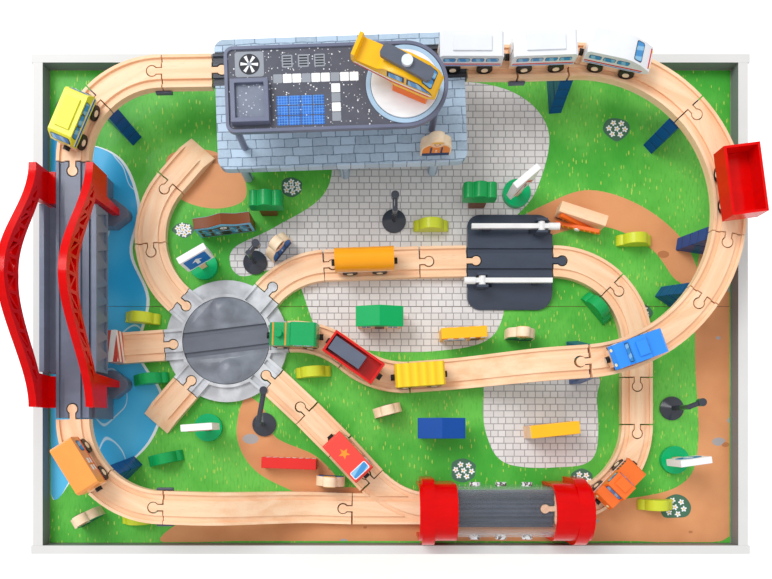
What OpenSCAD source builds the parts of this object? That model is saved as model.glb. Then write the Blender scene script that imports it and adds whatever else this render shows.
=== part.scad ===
// A wooden train table: rimmed table, two level track, bridge, station, turntable, crossing, tunnel, trains.
// Lengths are millimetres, +Z is up, and the origin is on the floor under the middle of the table.

/* [Table] */
// Length of the table over its long rails
table_l = 920; // [900:1:1000]
// Width of the table over its long rails
table_w = 640; // [640:1:720]
// Height of the play board over the floor
board_h = 400; // [250:1:550]
// Height of the rim over the play board
rim_h = 20; // [12:1:40]
// Height of the rails
rail_h = 84; // [70:1:120]
// Thickness of the long rails
long_rail_t = 11; // [9:0.5:16]
// Thickness of the short rails
short_rail_t = 12.5; // [9:0.5:16]
// Setback of the short rails from the ends of the long rails
rail_inset = 2.5; // [0:0.5:6]
// Thickness of the play boards
board_t = 8; // [5:0.5:12]
// Gap round each play board
board_fit = 0.5; // [0.3:0.1:1.5]
// Side of the square legs
leg_w = 44; // [36:1:60]
// Width of the battens under the boards
batten_w = 18; // [12:1:26]
// Height of the battens and of the cross beam
batten_h = 30; // [20:1:40]
// Width of the cross beam under the seam
beam_w = 46; // [30:1:70]
// Diameter of the leg glides
glide_d = 30; // [20:1:36]
// Thickness of the leg glides
glide_t = 4; // [2:0.5:8]
// Diameter of the frame bolts
bolt_d = 6; // [5:0.5:8]
// Length of the frame bolts
bolt_l = 38; // [30:1:50]

/* [Track] */
// Width of the track
track_w = 40; // [38:0.5:44]
// Thickness of the track
track_t = 12; // [10:0.5:14]
// Spacing of the two wheel grooves
gauge = 26; // [25:0.5:28]
// Width of a wheel groove
groove_w = 6.4; // [6:0.1:7.5]
// Depth of a wheel groove
groove_d = 3; // [2.4:0.1:4]
// Gap left at each track joint
joint_gap = 1.6; // [1.4:0.1:2.4]
// Diameter of a peg head
peg_d = 11.6; // [9:0.1:13]
// Distance from the end of a piece to its peg head
peg_reach = 12.5; // [10:0.5:15]
// Width of a peg neck
peg_neck = 6.6; // [5:0.1:8]
// Play of a peg in its socket
peg_play = 1.4; // [1.2:0.1:2]
// Middle radius of the small curves
curve_r = 108; // [104:0.5:112]
// Middle radius of the big curves
big_curve_r = 182; // [178:0.5:186]
// Length of a short straight
short_l = 61; // [58:0.5:64]
// Length of a long straight
long_l = 124; // [118:0.5:128]
// Length of the ramp beside the bridge
ramp_l = 226; // [220:1:232]
// Rise of the raised track over the board
rise = 66; // [60:1:74]

/* [Turntable] */
// Place of the turntable along the table
ring_x = -212; // [-216:0.5:-206]
// Place of the turntable across the table
ring_y = -46; // [-50:0.5:-42]
// Turn of the whole turntable
ring_turn = 4; // [3:0.5:5]
// Radius of the ring
ring_r = 79; // [76:0.5:84]
// Radius of the turning disc
disc_r = 56; // [50:0.5:58]
// Turn of the disc against the ring at rest
disc_turn = 3; // [0:0.5:8]
// Radius of the disc's pivot
pivot_r = 6; // [4:0.5:9]

/* [Bridge] */
// Length of the bridge deck
bridge_l = 310; // [300:1:320]
// Length of the deck's wide middle
bridge_mid_l = 199; // [180:1:220]
// Distance between the inner faces of the two arches
arch_span = 57; // [54:0.5:66]
// Length of an arch
arch_l = 284; // [260:1:300]
// Height of an arch's ends over the board
arch_foot = 112; // [100:1:120]
// Height of an arch's crown over the board
arch_crown = 190; // [170:1:210]
// Depth of the arch truss at its crown
arch_depth = 34; // [28:0.5:42]

/* [Station] */
// Length of the station platform
platform_l = 300; // [290:1:306]
// Width of the station platform
platform_w = 156; // [150:1:160]
// Height of the platform's top over the board
platform_top = 80; // [79:0.5:90]
// Distance of the station track behind the middle of the platform
platform_track = 43; // [40:0.5:46]
// Height of the station roof over the board
roof_top = 150; // [146:1:160]
// Radius of the round end of the roof
roof_r = 48; // [46:0.5:50]
// Radius of the landing pad
pad_r = 38; // [34:0.5:42]
// Length of the helicopter
heli_l = 98; // [90:1:104]
// Width of the helicopter
heli_w = 26; // [22:0.5:30]
// Length of the rotor bar
rotor_l = 60; // [50:1:70]

/* [Crossing and tunnel] */
// Length of the level crossing along the track
crossing_l = 111; // [108:0.5:114]
// Width of the level crossing along the road
crossing_w = 124; // [118:1:130]
// Length of a barrier boom
boom_l = 112; // [106:0.5:114]
// Height of the barrier pivots over the board
boom_z = 25; // [25:0.5:32]
// Length of the tunnel's track base
tunnel_l = 129; // [124:0.5:134]
// Height of the tunnel shell over the board
tunnel_h = 82; // [76:1:92]
// Half width of the tunnel shell
tunnel_half = 31; // [30:0.5:36]

/* [Vehicles] */
// Diameter of the wheels
wheel_d = 19; // [17:0.5:20]
// Thickness of a wheel
wheel_t = 3; // [2.4:0.1:3.2]
// Diameter of the axles
axle_d = 3.2; // [2.4:0.1:4]
// Distance between the two axles of a vehicle
wheelbase = 38; // [34:0.5:40]
// Width of a vehicle body
car_w = 29; // [26:0.5:30]
// Height of a vehicle body over the track
car_h = 42; // [36:0.5:44]
// Length of a locomotive or short wagon
loco_l = 62; // [58:0.5:64]
// Length of a passenger car or long wagon
wagon_l = 74; // [68:0.5:76]

/* [Hidden] */
over = 0.2;
$fn = 48;
hull_sides = 24;

// The play set keeps its place on a table of another size: the table that it was laid out for, and its fit
set_l = 920;
set_w = 640;
fit = min(table_l / set_l, table_w / set_w);

// Table heights
rail_low = board_h + rim_h - rail_h;
board_low = board_h - board_t;
inner_x = table_l / 2 - rail_inset - short_rail_t;
inner_y = table_w / 2 - long_rail_t;
bolt_fit = 0.2;
bolt_head_share = 2.2;
bolt_head_t = 4;
bolt_row_shares = [0.3, 0.75];

// Running fits and small clearances
axle_fit = 0.05;
pivot_fit = 0.06;
disc_fit = 0.5;
seat_fit = 0.4;
coupler_gap = 0.8;
// Line of glue between two pieces of one toy
glue = 0.05;

// Laying the track: a pose is [x, y, heading], and each piece starts where the last one ends
function ahead(p, d) = [p[0] + d * cos(p[2]), p[1] + d * sin(p[2]), p[2]];
function kinked(p, a) = [p[0], p[1], p[2] + a];
function beside(p, d) = [p[0] - d * sin(p[2]), p[1] + d * cos(p[2]), p[2]];
function arc_centre(p, r, side) = [p[0] - side * r * sin(p[2]), p[1] + side * r * cos(p[2])];
function bent(p, r, a) =
    let (side = sign(a), c = arc_centre(p, r, side))
    [c[0] + side * r * sin(p[2] + a), c[1] - side * r * cos(p[2] + a), p[2] + a];
function course(p, q) = atan2(q[1] - p[1], q[0] - p[0]);
function reach(p, q) = norm([q[0] - p[0], q[1] - p[1]]);
function ring_exit(a) =
    ahead([ring_x, ring_y, ring_turn + a], ring_r + joint_gap);

curve_a = 45;
big_curve_a = 51.4;
half_curve_a = 25.7;
swing = 2;
swing_small = 1;
filler_l = 43;
switch_l = 132;
switch_lead = 25;
// The branch of the switch is slimmer by this on each side, so that its edges cross those of the main line
switch_ease = 0.4;
branch_lead = 5.4;

// Main line from the turntable to the switch
ur_curve = ring_exit(curve_a);
ur_long = kinked(bent(ur_curve, curve_r, -curve_a), -swing);
ur_short = kinked(ahead(ur_long, long_l), -swing_small);
crossing_start = kinked(ahead(ur_short, short_l), -swing_small);
east_start = ahead(crossing_start, crossing_l);
east_mid = bent(east_start, curve_r, -curve_a);
east_end = bent(east_mid, curve_r, -curve_a);
east_short = ahead(east_end, filler_l);
south_start = ahead(east_short, short_l);
tunnel_start = bent(south_start, curve_r, -2 * curve_a);
switch_start = ahead(tunnel_start, tunnel_l);
switch_end = ahead(switch_start, switch_l);
branch_start = ahead(switch_start, switch_lead);
branch_end = ahead(bent(branch_start, curve_r, -curve_a), branch_lead);

// Ramp, curves, bridge and station on the raised level
ramp_b_start = kinked(switch_end, -swing);
west_start = kinked(ahead(ramp_b_start, ramp_l), swing);
west_mid = bent(west_start, curve_r, -curve_a);
bridge_start = bent(west_mid, curve_r, -curve_a);
north_start = ahead(bridge_start, bridge_l);
north_mid = bent(north_start, curve_r, -curve_a);
link_start = kinked(bent(north_mid, curve_r, -curve_a), swing_small);
station_start = kinked(ahead(link_start, short_l), swing_small);
platform_lip = 3.5;
station_track_l = platform_l + 2 * platform_lip;
run_start = kinked(ahead(station_start, station_track_l), -swing);
run_mid = kinked(ahead(run_start, short_l), swing);
loop_start = kinked(ahead(run_mid, short_l), swing);
loop_a = bent(loop_start, big_curve_r, -big_curve_a);
loop_b = bent(loop_a, big_curve_r, -big_curve_a);
loop_c = bent(loop_b, big_curve_r, -half_curve_a);
loop_end = bent(loop_c, big_curve_r, -big_curve_a);
loop_centre = arc_centre(loop_start, big_curve_r, -1);

// Curves from the turntable to the second ramp
right_start = ring_exit(0);
right_mid = bent(right_start, curve_r, -curve_a);
right_end = bent(right_mid, curve_r, curve_a);
ramp_a_start = [right_end[0], right_end[1], course(right_end, loop_end)];
ramp_a_l = reach(right_end, loop_end);

// Three straights from the turntable to the switch
branch_near = ring_exit(-curve_a);
branch_course = course(branch_near, branch_end);
branch_piece_l = reach(branch_near, branch_end) / (1 + 2 * cos(swing));
branch_a = [branch_near[0], branch_near[1], branch_course + swing];
branch_b = [ahead(branch_a, branch_piece_l)[0], ahead(branch_a, branch_piece_l)[1], branch_course];
branch_c = kinked(ahead(branch_b, branch_piece_l), -swing);

// Sidings
siding_a = ring_exit(3 * curve_a);
siding_b = bent(siding_a, curve_r, -curve_a);
siding_end = bent(siding_b, curve_r, -curve_a);
siding_c = ring_exit(5 * curve_a);
buffer_start = ring_exit(4 * curve_a);
buffer_l = 66;
buffer_t = 13;
buffer_h = 38;
bevel_l = 20;
bevel_edge = 3;

// Small sizes of the track
peg_root = 2;
ramp_lead = 36;
ramp_steps = 14;
socket_reach = peg_reach - joint_gap;

// Small sizes of the raised track's carriers
support_t = 16;
support_flare = 13;
support_out = 3;
support_seam = 2;
support_fit = 0.5;
clip_l = 20;
clip_t = 3;
clip_lip = 4;

// Small sizes of the turntable
ring_floor = 3;
rim_wall = 4.5;
rim_drop = 0.5;
ring_arm = 0.4;
ring_reach = ring_r + ring_arm;
ring_ways = [0, 1, 3, 4, 5, 7];
disc_low = ring_floor + seat_fit;
ring_low = 7;
rock_r = 17;
rock_h = 5;
rock_place_share = 0.72;

// Small sizes of the bridge
deck_t = 12;
deck_edge_w = 68;
girder_t = 6;
girder_h = 40;
girder_step = 22;
girder_rib = 5;
arch_t = 9;
arch_chord = 8;
arch_web = 4;
arch_bays = 12;
leg_place = 110;
pier_l = 86;
pier_w = 36;
pier_t = 20;
pier_shift = 5;
end_block_l = 30;
end_block_w = 46;
foot_run = 38;

// Small sizes of the station
platform_t = 14;
platform_corner = 12;
platform_post_r = 6;
post_place_shares = [[-0.42, -0.4], [0, -0.4], [0.38, -0.4], [-0.42, 0.03], [0, 0.03], [0.38, 0.03]];
roof_run = 200;
pad_place = 74;
roof_front = 63;
roof_t = 5;
roof_lip_w = 4;
roof_lip_h = 2;
roof_corner = 10;
roof_post_r = 4;
roof_post_shares = [[-0.955, -0.79], [-0.955, 0.41], [-0.22, 0.41], [0.17, -0.5]];
pad_t = 3;
pad_ring = 5.5;
hatch_l = 42;
hatch_w = 48;
hatch_h = 9;
hatch_wall = 5;
hatch_place = 28;
hatch_place_front = 9;

// Small sizes of the helicopter
heli_turn = -25;
heli_low = 13;
heli_h = 30;
skid_l = 40;
skid_w = 11;
skid_gap = 4;
rotor_w = 15;
rotor_t = 6;
rotor_pin_r = 3;
rotor_pin_l = 14;
screw_r = 6;
screw_t = 4;
rotor_turn = -6;
rotor_place_share = 0.1;
heli_shares = [[-0.5, 0.62], [-0.47, 0.42], [-0.1, 0.3], [0.02, 0], [0.4, 0], [0.5, 0.22],
    [0.44, 0.6], [0.3, 0.92], [0.1, 1], [-0.12, 0.92], [-0.2, 0.72], [-0.44, 0.72], [-0.46, 1], [-0.5, 1]];

// Small sizes of the level crossing
crossing_edge = 3;
crossing_ramp = 24;
crossing_corner = 18;
crossing_t = track_t;
boom_t = 6;
boom_w = 6;
boom_pin_r = 1.8;
boom_fit = 0.05;
boom_side = 3.2;
boom_hub_r = 4.5;
knob_d = 9;
knob_run = 14;
boom_short = 23;
boom_offset_rear = 41;
boom_offset_front = -28;
boom_pivot_inset = 17;
cheek_t = 3;
cheek_l = 14;
rest_l = 10;
slot_floor = 1;
slot_fit = 1.5;

// Small sizes of the tunnel
shell_t = 2.5;
portal_t = 4;
portal_l = 46;
portal_grip = 10;
portal_lip_l = 15;
portal_lip_t = 6;
portal_lip_inset = 4;
portal_fit = 0.4;
tunnel_out = 105;
tunnel_shift = 8;
stud_r = 7;
stud_h = 5;
stud_z_share = 0.4;
stud_step = 33;
tunnel_base_half = 24;

// Small sizes of the vehicles
wheel_side = 1;
chassis_w = gauge - wheel_t - 2 * wheel_side;
wheel_r = wheel_d / 2;
wheel_sink = groove_d - seat_fit;
axle_z = wheel_r - wheel_sink;
wheel_gap = 0.8;
deck_z = axle_z + wheel_r + wheel_gap;
chassis_low = 2.5;
hub_r = 4;
hub_t = 0.8;
coupler_r = 4;
coupler_l = 5;
coupler_z = 10;
body_h = car_h - deck_z;
train_step = wagon_l + 2 * coupler_l + coupler_gap;

// Places along the track, with headings along the way the vehicle faces
function on_arc(c, r, phi) =
    let (rr = sqrt(r * r - wheelbase * wheelbase / 4))
    [c[0] + rr * cos(phi), c[1] + rr * sin(phi), phi - 90];
function chord(p, q) = [(p[0] + q[0]) / 2, (p[1] + q[1]) / 2, course(p, q)];
north_centre = arc_centre(north_start, curve_r, -1);
west_centre = arc_centre(west_start, curve_r, -1);
south_centre = arc_centre(south_start, curve_r, -1);
tram_at = on_arc(north_centre, curve_r, 157);
parcel_at = on_arc(west_centre, curve_r, 212);
blue_at = on_arc(loop_centre, big_curve_r, -70);
dumper_at = on_arc(loop_centre, big_curve_r, 7.5);
nose_at = on_arc(loop_centre, big_curve_r, 78);
orange_at = on_arc(south_centre, curve_r, -44);
covered_run = 52;
covered_at = ahead(ur_long, covered_run);
fire_run = 16;
fire_at = ahead(branch_c, fire_run);
train_run = 24;
car_two_at = ahead(run_mid, train_run);
car_one_at = ahead(run_start, train_run + short_l - train_step);
half_base_a = asin(wheelbase / 2 / curve_r);
green_a = 15.5;
green_back = 9;
green_at = chord(bent(right_start, curve_r, -green_a), ahead(right_start, -green_back));
hopper_a = 4.2;
hopper_at = chord(bent(right_mid, curve_r, half_base_a + hopper_a),
    bent(right_start, curve_r, half_base_a - hopper_a - curve_a));
tender_run = -8;
tender_at = chord(ahead(ramp_a_start, tender_run + wheelbase), ahead(ramp_a_start, tender_run));

// Scenery
tree_places = [[-157, 128, 0], [112, 138, 0]];
tree_w = 42;
tree_h = 58;
tree_t = 20;
bush_places = [[53, 104, 0], [317, 85, 0], [-100, -86, 4], [-322, -16, -4], [345, -258, 0],
    [-326, -276, 0],
    [268.3, -2.8, -50], [-311, -95, 6], [-292, -198, 12]];
bush_l = 46;
bush_h = 24;
bush_t = 14;
lobe_place_share = 0.28;
lobe_r_share = 0.22;
sign_places = [[-242, 52, 30], [164, 146, 40], [-236, -158, 4], [369, -200, 8]];
sign_base_r = 18;
sign_base_h = 9;
sign_post_w = 8;
sign_post_l = 16;
sign_w = 38;
sign_h = 46;
sign_t = 8;
lamp_places = [[-176, 57, 50], [5, 111, 90], [-164, -154, 80], [367, -133, 20]];
lamp_arm_shares = [0.35, 0.4, 1, 0.4];
lamp_base_r = 15.5;
lamp_base_h = 8;
lamp_post_r = 3.2;
lamp_h = 58;
lamp_arm = 42;
lamp_head_r = 5;
figure_places = [[-144, 74, 50], [167, -38, -3], [-4, -136, 15], [-77, -226.5, -3], [-390, -274, 30]];
figure_w = 36;
figure_h = 44;
figure_t = 12;
guard_shares = [0.37, -0.41];
hall_at = [-14, -18, 0];
cabin_at = [64, -159, 0];
cabin_l = 60;
cabin_w = 26;
cabin_h = 34;
cabin_roof = 12;
cabin_eave = 2;
shop_at = [93, -38, 3];
panel_w = 58;
panel_h = 34;
panel_t = 14;
front_at = [-212, 101, 7];
front_w = 72;
front_h = 50;
mill_at = [245, 113, -18];
mill_w = 62;
mill_h = 30;
sail_l = 58;
sail_w = 7;
sail_t = 5;
sail_turn = 20;
crane_at = [205, -161, 6];
crane_l = 62;
crane_w = 16;
crane_h = 46;
fence_at = [-130, -204, -2];
fence_l = 70;
fence_w = 14;
fence_h = 22;

// Colours
paint_grey = "#e1e1df";
beech = "#facda5";
plastic_grey = "#6e788c";
dark_grey = "#323a46";
red = "#d70a0a";
blue = "#004182";
green = "#0a9646";
lime = "#cdd732";

// Helpers
module at(p, z = 0) {
    translate([p[0], p[1], board_h + z]) rotate(p[2]) children();
}

// The play set on the boards, drawn to the table's size
module on_board() {
    translate([0, 0, board_h]) scale(fit) translate([0, 0, -board_h]) children();
}

module block(l, w, h, z = 0) {
    translate([-l / 2, -w / 2, z]) cube([l, w, h]);
}

module rounded(l, w, r) {
    square([l - 2 * r, w], center = true);
    square([l, w - 2 * r], center = true);
    for (x = [-1, 1], y = [-1, 1]) translate([x * (l / 2 - r), y * (w / 2 - r)]) circle(r);
}

// A side outline in the XZ plane, made into a slab of width w across Y
module slab(w) {
    rotate([90, 0, 0]) linear_extrude(w, center = true) children();
}

module pin(r, l) {
    rotate([90, 0, 0]) cylinder(r = r, h = l, center = true);
}

// Table
module long_rails() {
    color(paint_grey) for (side = [-1, 1]) difference() {
        translate([-table_l / 2, side > 0 ? inner_y : -inner_y - long_rail_t, rail_low])
            cube([table_l, long_rail_t, rail_h]);
        for (x = [-1, 1], row = bolt_row_shares)
            translate([x * (inner_x - leg_w / 2), side * table_w / 2, bolt_z(row)])
                rotate([side * 90, 0, 0]) bolt_hole();
    }
}

module short_rails() {
    color(paint_grey) for (side = [-1, 1]) difference() {
        translate([side > 0 ? inner_x : -inner_x - short_rail_t, -inner_y, rail_low])
            cube([short_rail_t, 2 * inner_y, rail_h]);
        for (y = [-1, 1])
            translate([side * (inner_x + short_rail_t), y * (inner_y - leg_w / 2),
                bolt_z(short_bolt_share)])
                rotate([0, -side * 90, 0]) bolt_hole();
    }
}

short_bolt_share = 0.52;
function bolt_z(share) = rail_low + share * (board_low - rail_low);

module bolt_hole() {
    cylinder(d = bolt_d + 2 * bolt_fit, h = bolt_l + bolt_fit);
    translate([0, 0, -over])
        cylinder(d = bolt_d * bolt_head_share + 2 * bolt_fit, h = bolt_head_t + bolt_fit + over);
}

module bolt() {
    cylinder(d = bolt_d, h = bolt_l);
    difference() {
        cylinder(d = bolt_d * bolt_head_share, h = bolt_head_t);
        translate([0, 0, -over]) cylinder(d = bolt_d, h = bolt_head_t / 2 + over, $fn = 6);
    }
}

module frame_bolts() {
    color("#b8bcc0") {
        for (side = [-1, 1], x = [-1, 1], row = bolt_row_shares)
            translate([x * (inner_x - leg_w / 2), side * table_w / 2, bolt_z(row)])
                rotate([side * 90, 0, 0]) bolt();
        for (side = [-1, 1], y = [-1, 1])
            translate([side * (inner_x + short_rail_t), y * (inner_y - leg_w / 2),
                bolt_z(short_bolt_share)])
                rotate([0, -side * 90, 0]) bolt();
    }
}

module play_boards() {
    color("#3ca032") for (side = [-1, 1])
        translate([-inner_x + board_fit, side > 0 ? board_fit / 2 : -inner_y + board_fit, board_low])
            cube([2 * (inner_x - board_fit), inner_y - board_fit - board_fit / 2, board_t]);
}

module legs() {
    color(paint_grey) for (x = [-1, 1], y = [-1, 1]) difference() {
        translate([x * (inner_x - leg_w / 2), y * (inner_y - leg_w / 2), glide_t])
            block(leg_w, leg_w, board_low - glide_t);
        for (row = bolt_row_shares)
            translate([x * (inner_x - leg_w / 2), y * table_w / 2, bolt_z(row)]) rotate([y * 90, 0, 0])
                bolt_hole();
        translate([x * (inner_x + short_rail_t), y * (inner_y - leg_w / 2), bolt_z(short_bolt_share)])
            rotate([0, -x * 90, 0]) bolt_hole();
    }
}

module leg_glides() {
    color("#2b2b2b") for (x = [-1, 1], y = [-1, 1])
        translate([x * (inner_x - leg_w / 2), y * (inner_y - leg_w / 2), 0])
            cylinder(d = glide_d, h = glide_t);
}

module board_battens() {
    color(beech) {
        for (side = [-1, 1]) {
            translate([0, side * (inner_y - batten_w / 2), board_low - batten_h])
                block(2 * (inner_x - leg_w), batten_w, batten_h);
            for (y = [-1, 1])
                translate([side * (inner_x - batten_w / 2), y * batten_mid, board_low - batten_h])
                    block(batten_w, batten_run, batten_h);
        }
        translate([0, 0, board_low - batten_h]) block(2 * inner_x, beam_w, batten_h);
    }
}

batten_run = inner_y - leg_w - beam_w / 2;
batten_mid = beam_w / 2 + batten_run / 2;

// Track pieces
module groove_cut(l) {
    for (side = [-1, 1])
        translate([-over, side * gauge / 2 - groove_w / 2, track_t - groove_d])
            cube([l + 2 * over, groove_w, groove_d + over]);
}

module track_profile() {
    difference() {
        translate([-track_w / 2, 0]) square([track_w, track_t]);
        for (side = [-1, 1])
            translate([side * gauge / 2 - groove_w / 2, track_t - groove_d])
                square([groove_w, groove_d + over]);
    }
}

module peg() {
    translate([-peg_root, -peg_neck / 2, 0]) cube([peg_root + peg_reach, peg_neck, track_t]);
    translate([peg_reach, 0, 0]) cylinder(d = peg_d, h = track_t);
}

module socket() {
    translate([-over, -peg_neck / 2 - peg_play, -over])
        cube([socket_reach + over, peg_neck + 2 * peg_play, track_t + 2 * over]);
    translate([socket_reach, 0, -over]) cylinder(d = peg_d + 2 * peg_play, h = track_t + 2 * over);
}

// A straight piece from its start pose, with a peg (1) or a socket (-1) or neither (0) at each end
module straight(l, start = -1, end = 1) {
    run = l - joint_gap;
    difference() {
        union() {
            rotate([90, 0, 90]) linear_extrude(run) track_profile();
            if (start > 0) rotate(180) peg();
            if (end > 0) translate([run, 0, 0]) peg();
        }
        if (start < 0) socket();
        if (end < 0) translate([run, 0, 0]) rotate(180) socket();
    }
}

module curve(p, r, a, z = 0, start = -1, end = 1) {
    side = sign(a);
    span = abs(a) - joint_gap / r * 180 / PI;
    c = arc_centre(p, r, side);
    q = bent(p, r, side * span);
    difference() {
        union() {
            translate([c[0], c[1], board_h + z]) rotate(side > 0 ? p[2] - 90 : p[2] + 90 - span)
                rotate_extrude(angle = span) translate([r, 0]) track_profile();
            if (start > 0) at(p, z) rotate(180) peg();
            if (end > 0) at(q, z) peg();
        }
        if (start < 0) at(p, z) socket();
        if (end < 0) at(q, z) rotate(180) socket();
    }
}

module bevel_piece(l) {
    difference() {
        union() {
            slab(track_w) polygon([[0, 0], [l, 0], [l, bevel_edge], [l - bevel_l, track_t], [0, track_t]]);
            rotate(180) peg();
        }
        groove_cut(l);
    }
}

// Height of a ramp's underside at share t of its run
function eased(t) = t * t * (3 - 2 * t);
function ramp_x(run,
    i) = i == 0 ? 0 : i == ramp_steps + 2 ? run : ramp_lead + (run - 2 * ramp_lead) * (i - 1) / ramp_steps;
function ramp_z(i) = rise * eased(min(max((i - 1) / ramp_steps, 0), 1));
function ramp_line(run, z) = [for (i = [0:ramp_steps + 2]) [ramp_x(run, i), ramp_z(i) + z]];
function turned(list) = [for (i = [len(list) - 1:-1:0]) list[i]];

module ramp(l, peg_low) {
    run = l - joint_gap;
    difference() {
        union() {
            slab(track_w) polygon(concat(ramp_line(run, 0), turned(ramp_line(run, track_t))));
            if (peg_low) rotate(180) peg();
            if (!peg_low) translate([run, 0, rise]) peg();
        }
        for (side = [-1, 1])
            translate([0, side * gauge / 2, 0])
                slab(groove_w) polygon(concat(ramp_line(run, track_t - groove_d),
                    turned(ramp_line(run, track_t + over))));
        if (peg_low) translate([run, 0, rise]) rotate(180) socket();
        if (!peg_low) socket();
    }
}

// A bent strip between two radii, from straight up round to the right
module bent_strip(low, high, span) {
    far = 2 * high;
    intersection() {
        difference() {
            circle(high);
            circle(low);
        }
        polygon([[0, 0], [0, far], [far * sin(span), far * cos(span)]]);
    }
}

// The place where the bend of a switch's branch ends
module branch_place() {
    translate([switch_lead, -curve_r, 0]) rotate(-curve_a) translate([0, curve_r, 0]) children();
}

module switch_piece() {
    run = switch_l - joint_gap;
    half = track_w / 2 - switch_ease;
    slot = groove_w / 2 - switch_ease;
    difference() {
        union() {
            linear_extrude(track_t) {
                translate([0, -track_w / 2]) square([run, track_w]);
                translate([switch_lead, -curve_r]) bent_strip(curve_r - half, curve_r + half, curve_a);
                branch_place() translate([-over, switch_ease - half])
                    square([branch_lead + over, 2 * (half - switch_ease)]);
            }
            translate([run, 0, 0]) peg();
            branch_place() translate([branch_lead, 0, 0]) peg();
        }
        translate([0, 0, track_t - groove_d]) linear_extrude(groove_d + over) for (side = [-1, 1]) {
            y = side * gauge / 2 - groove_w / 2;
            translate([-over, y]) square([run + 2 * over, groove_w]);
            mid = curve_r + side * gauge / 2;
            translate([switch_lead, -curve_r]) bent_strip(mid - slot, mid + slot, curve_a + over);
            branch_place() translate([-over, y]) square([branch_lead + 2 * over, groove_w]);
        }
        socket();
    }
}

module ground_track() {
    color(beech) {
        curve(ur_curve, curve_r, -curve_a);
        at(ur_long) straight(long_l);
        at(ur_short) straight(short_l);
        curve(east_start, curve_r, -curve_a);
        curve(east_mid, curve_r, -curve_a);
        at(east_end) straight(filler_l);
        at(east_short) straight(short_l);
        curve(south_start, curve_r, -2 * curve_a);
        at(switch_start) switch_piece();
        curve(right_start, curve_r, -curve_a, start = 1, end = -1);
        curve(right_mid, curve_r, curve_a, start = 1, end = -1);
        for (p = [branch_a, branch_b, branch_c]) at(p) straight(branch_piece_l, 1, -1);
        curve(siding_a, curve_r, -curve_a, start = 1, end = -1);
        curve(siding_b, curve_r, -curve_a, start = 1, end = -1);
        at(siding_end) bevel_piece(short_l);
        at(siding_c) bevel_piece(short_l);
        at(buffer_start) straight(buffer_l, 1, 0);
        at(ahead(buffer_start, buffer_l - joint_gap - buffer_t / 2), track_t + glue)
            block(buffer_t, track_w, buffer_h - track_t);
    }
}

module raised_track() {
    color(beech) {
        at(ramp_b_start) ramp(ramp_l, false);
        at(ramp_a_start) ramp(ramp_a_l, true);
        curve(west_start, curve_r, -curve_a, rise);
        curve(west_mid, curve_r, -curve_a, rise);
        curve(north_start, curve_r, -curve_a, rise, 1, -1);
        curve(north_mid, curve_r, -curve_a, rise, 1, -1);
        at(link_start, rise) straight(short_l, 1, 1);
        at(run_start, rise) straight(short_l);
        at(run_mid, rise) straight(short_l);
        curve(loop_start, big_curve_r, -big_curve_a, rise);
        curve(loop_a, big_curve_r, -big_curve_a, rise);
        curve(loop_b, big_curve_r, -half_curve_a, rise);
        curve(loop_c, big_curve_r, -big_curve_a, rise);
    }
}

// A grey clip that holds a raised joint together from below
module joint_clip() {
    w = track_w + 2 * (support_fit + clip_t);
    difference() {
        block(clip_l, w, clip_t + clip_lip, rise - clip_t);
        block(clip_l + 2 * over, track_w + 2 * support_fit, clip_lip + over, rise);
    }
}

module track_clips() {
    color(plastic_grey) for (p = [west_start, link_start, run_mid])
        at(ahead(p, -joint_gap / 2)) joint_clip();
}

module support_block() {
    half = track_w / 2;
    difference() {
        slab_across(support_t)
            polygon([[-half - support_flare, 0], [half + support_out, 0], [half, rise], [-half, rise]]);
        for (side = [-1, 1])
            translate([side * support_t / 2, 0, rise / 2])
                block(support_seam, track_w + 2 * support_flare, support_seam);
    }
}

// An outline in the YZ plane, made into a slab of thickness t along X
module slab_across(t) {
    rotate([90, 0, 90]) linear_extrude(t, center = true) children();
}

module support_blocks() {
    color(blue) for (p = [west_mid, north_mid, loop_start, loop_a, loop_b, loop_c, loop_end])
        at(ahead(p, -joint_gap / 2)) support_block();
}

// Bridge
module bridge_deck() {
    color(plastic_grey) at(bridge_start, rise) {
        straight(bridge_l, -1, -1);
        for (side = [-1, 1])
            translate([bridge_l / 2 - joint_gap / 2, side * (deck_edge_w - girder_t) / 2, 0]) girder(side);
    }
}

module girder(side) {
    gap = (deck_edge_w - track_w) / 2 - girder_t;
    difference() {
        union() {
            block(bridge_mid_l, girder_t, girder_h, track_t / 2 - girder_h / 2);
            translate([0, -side * (girder_t / 2 + gap / 2), 0])
                block(bridge_mid_l, gap, deck_t - groove_d);
        }
        for (i = [0:girder_bays - 1])
            translate([(i - (girder_bays - 1) / 2) * girder_step, side * girder_t / 2,
                track_t / 2 - girder_h / 2 + girder_rib])
                slab(girder_t) polygon([[-girder_step / 2 + girder_rib / 2, 0],
                    [girder_step / 2 - girder_rib / 2, 0],
                    [0, girder_h - 2 * girder_rib]]);
    }
}

girder_bays = floor(bridge_mid_l / girder_step);

// Height of an arch's upper and lower edge at share t from the middle (0) to an end (1)
arch_ends_share = 0.45;
function arch_top(t) = arch_foot + (arch_crown - arch_foot) * (1 - eased(t));
function arch_low(t) = arch_top(t) - arch_depth * (1 - arch_ends_share * t);
function arch_x(t) = t * arch_l / 2;
arch_steps = 20;
function arch_band(high, low) = concat(
    [for (i = [-arch_steps:arch_steps]) [arch_x(i / arch_steps), arch_top(abs(i) / arch_steps) - high]],
    [for (i = [arch_steps:-1:-arch_steps]) [arch_x(i / arch_steps), arch_low(abs(i) / arch_steps) + low]]);

module arch_truss() {
    difference() {
        slab(arch_t) polygon(arch_band(0, 0));
        slab(arch_t + 2 * over) arch_windows();
    }
    for (side = [-1, 1]) arch_leg(side);
}

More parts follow.
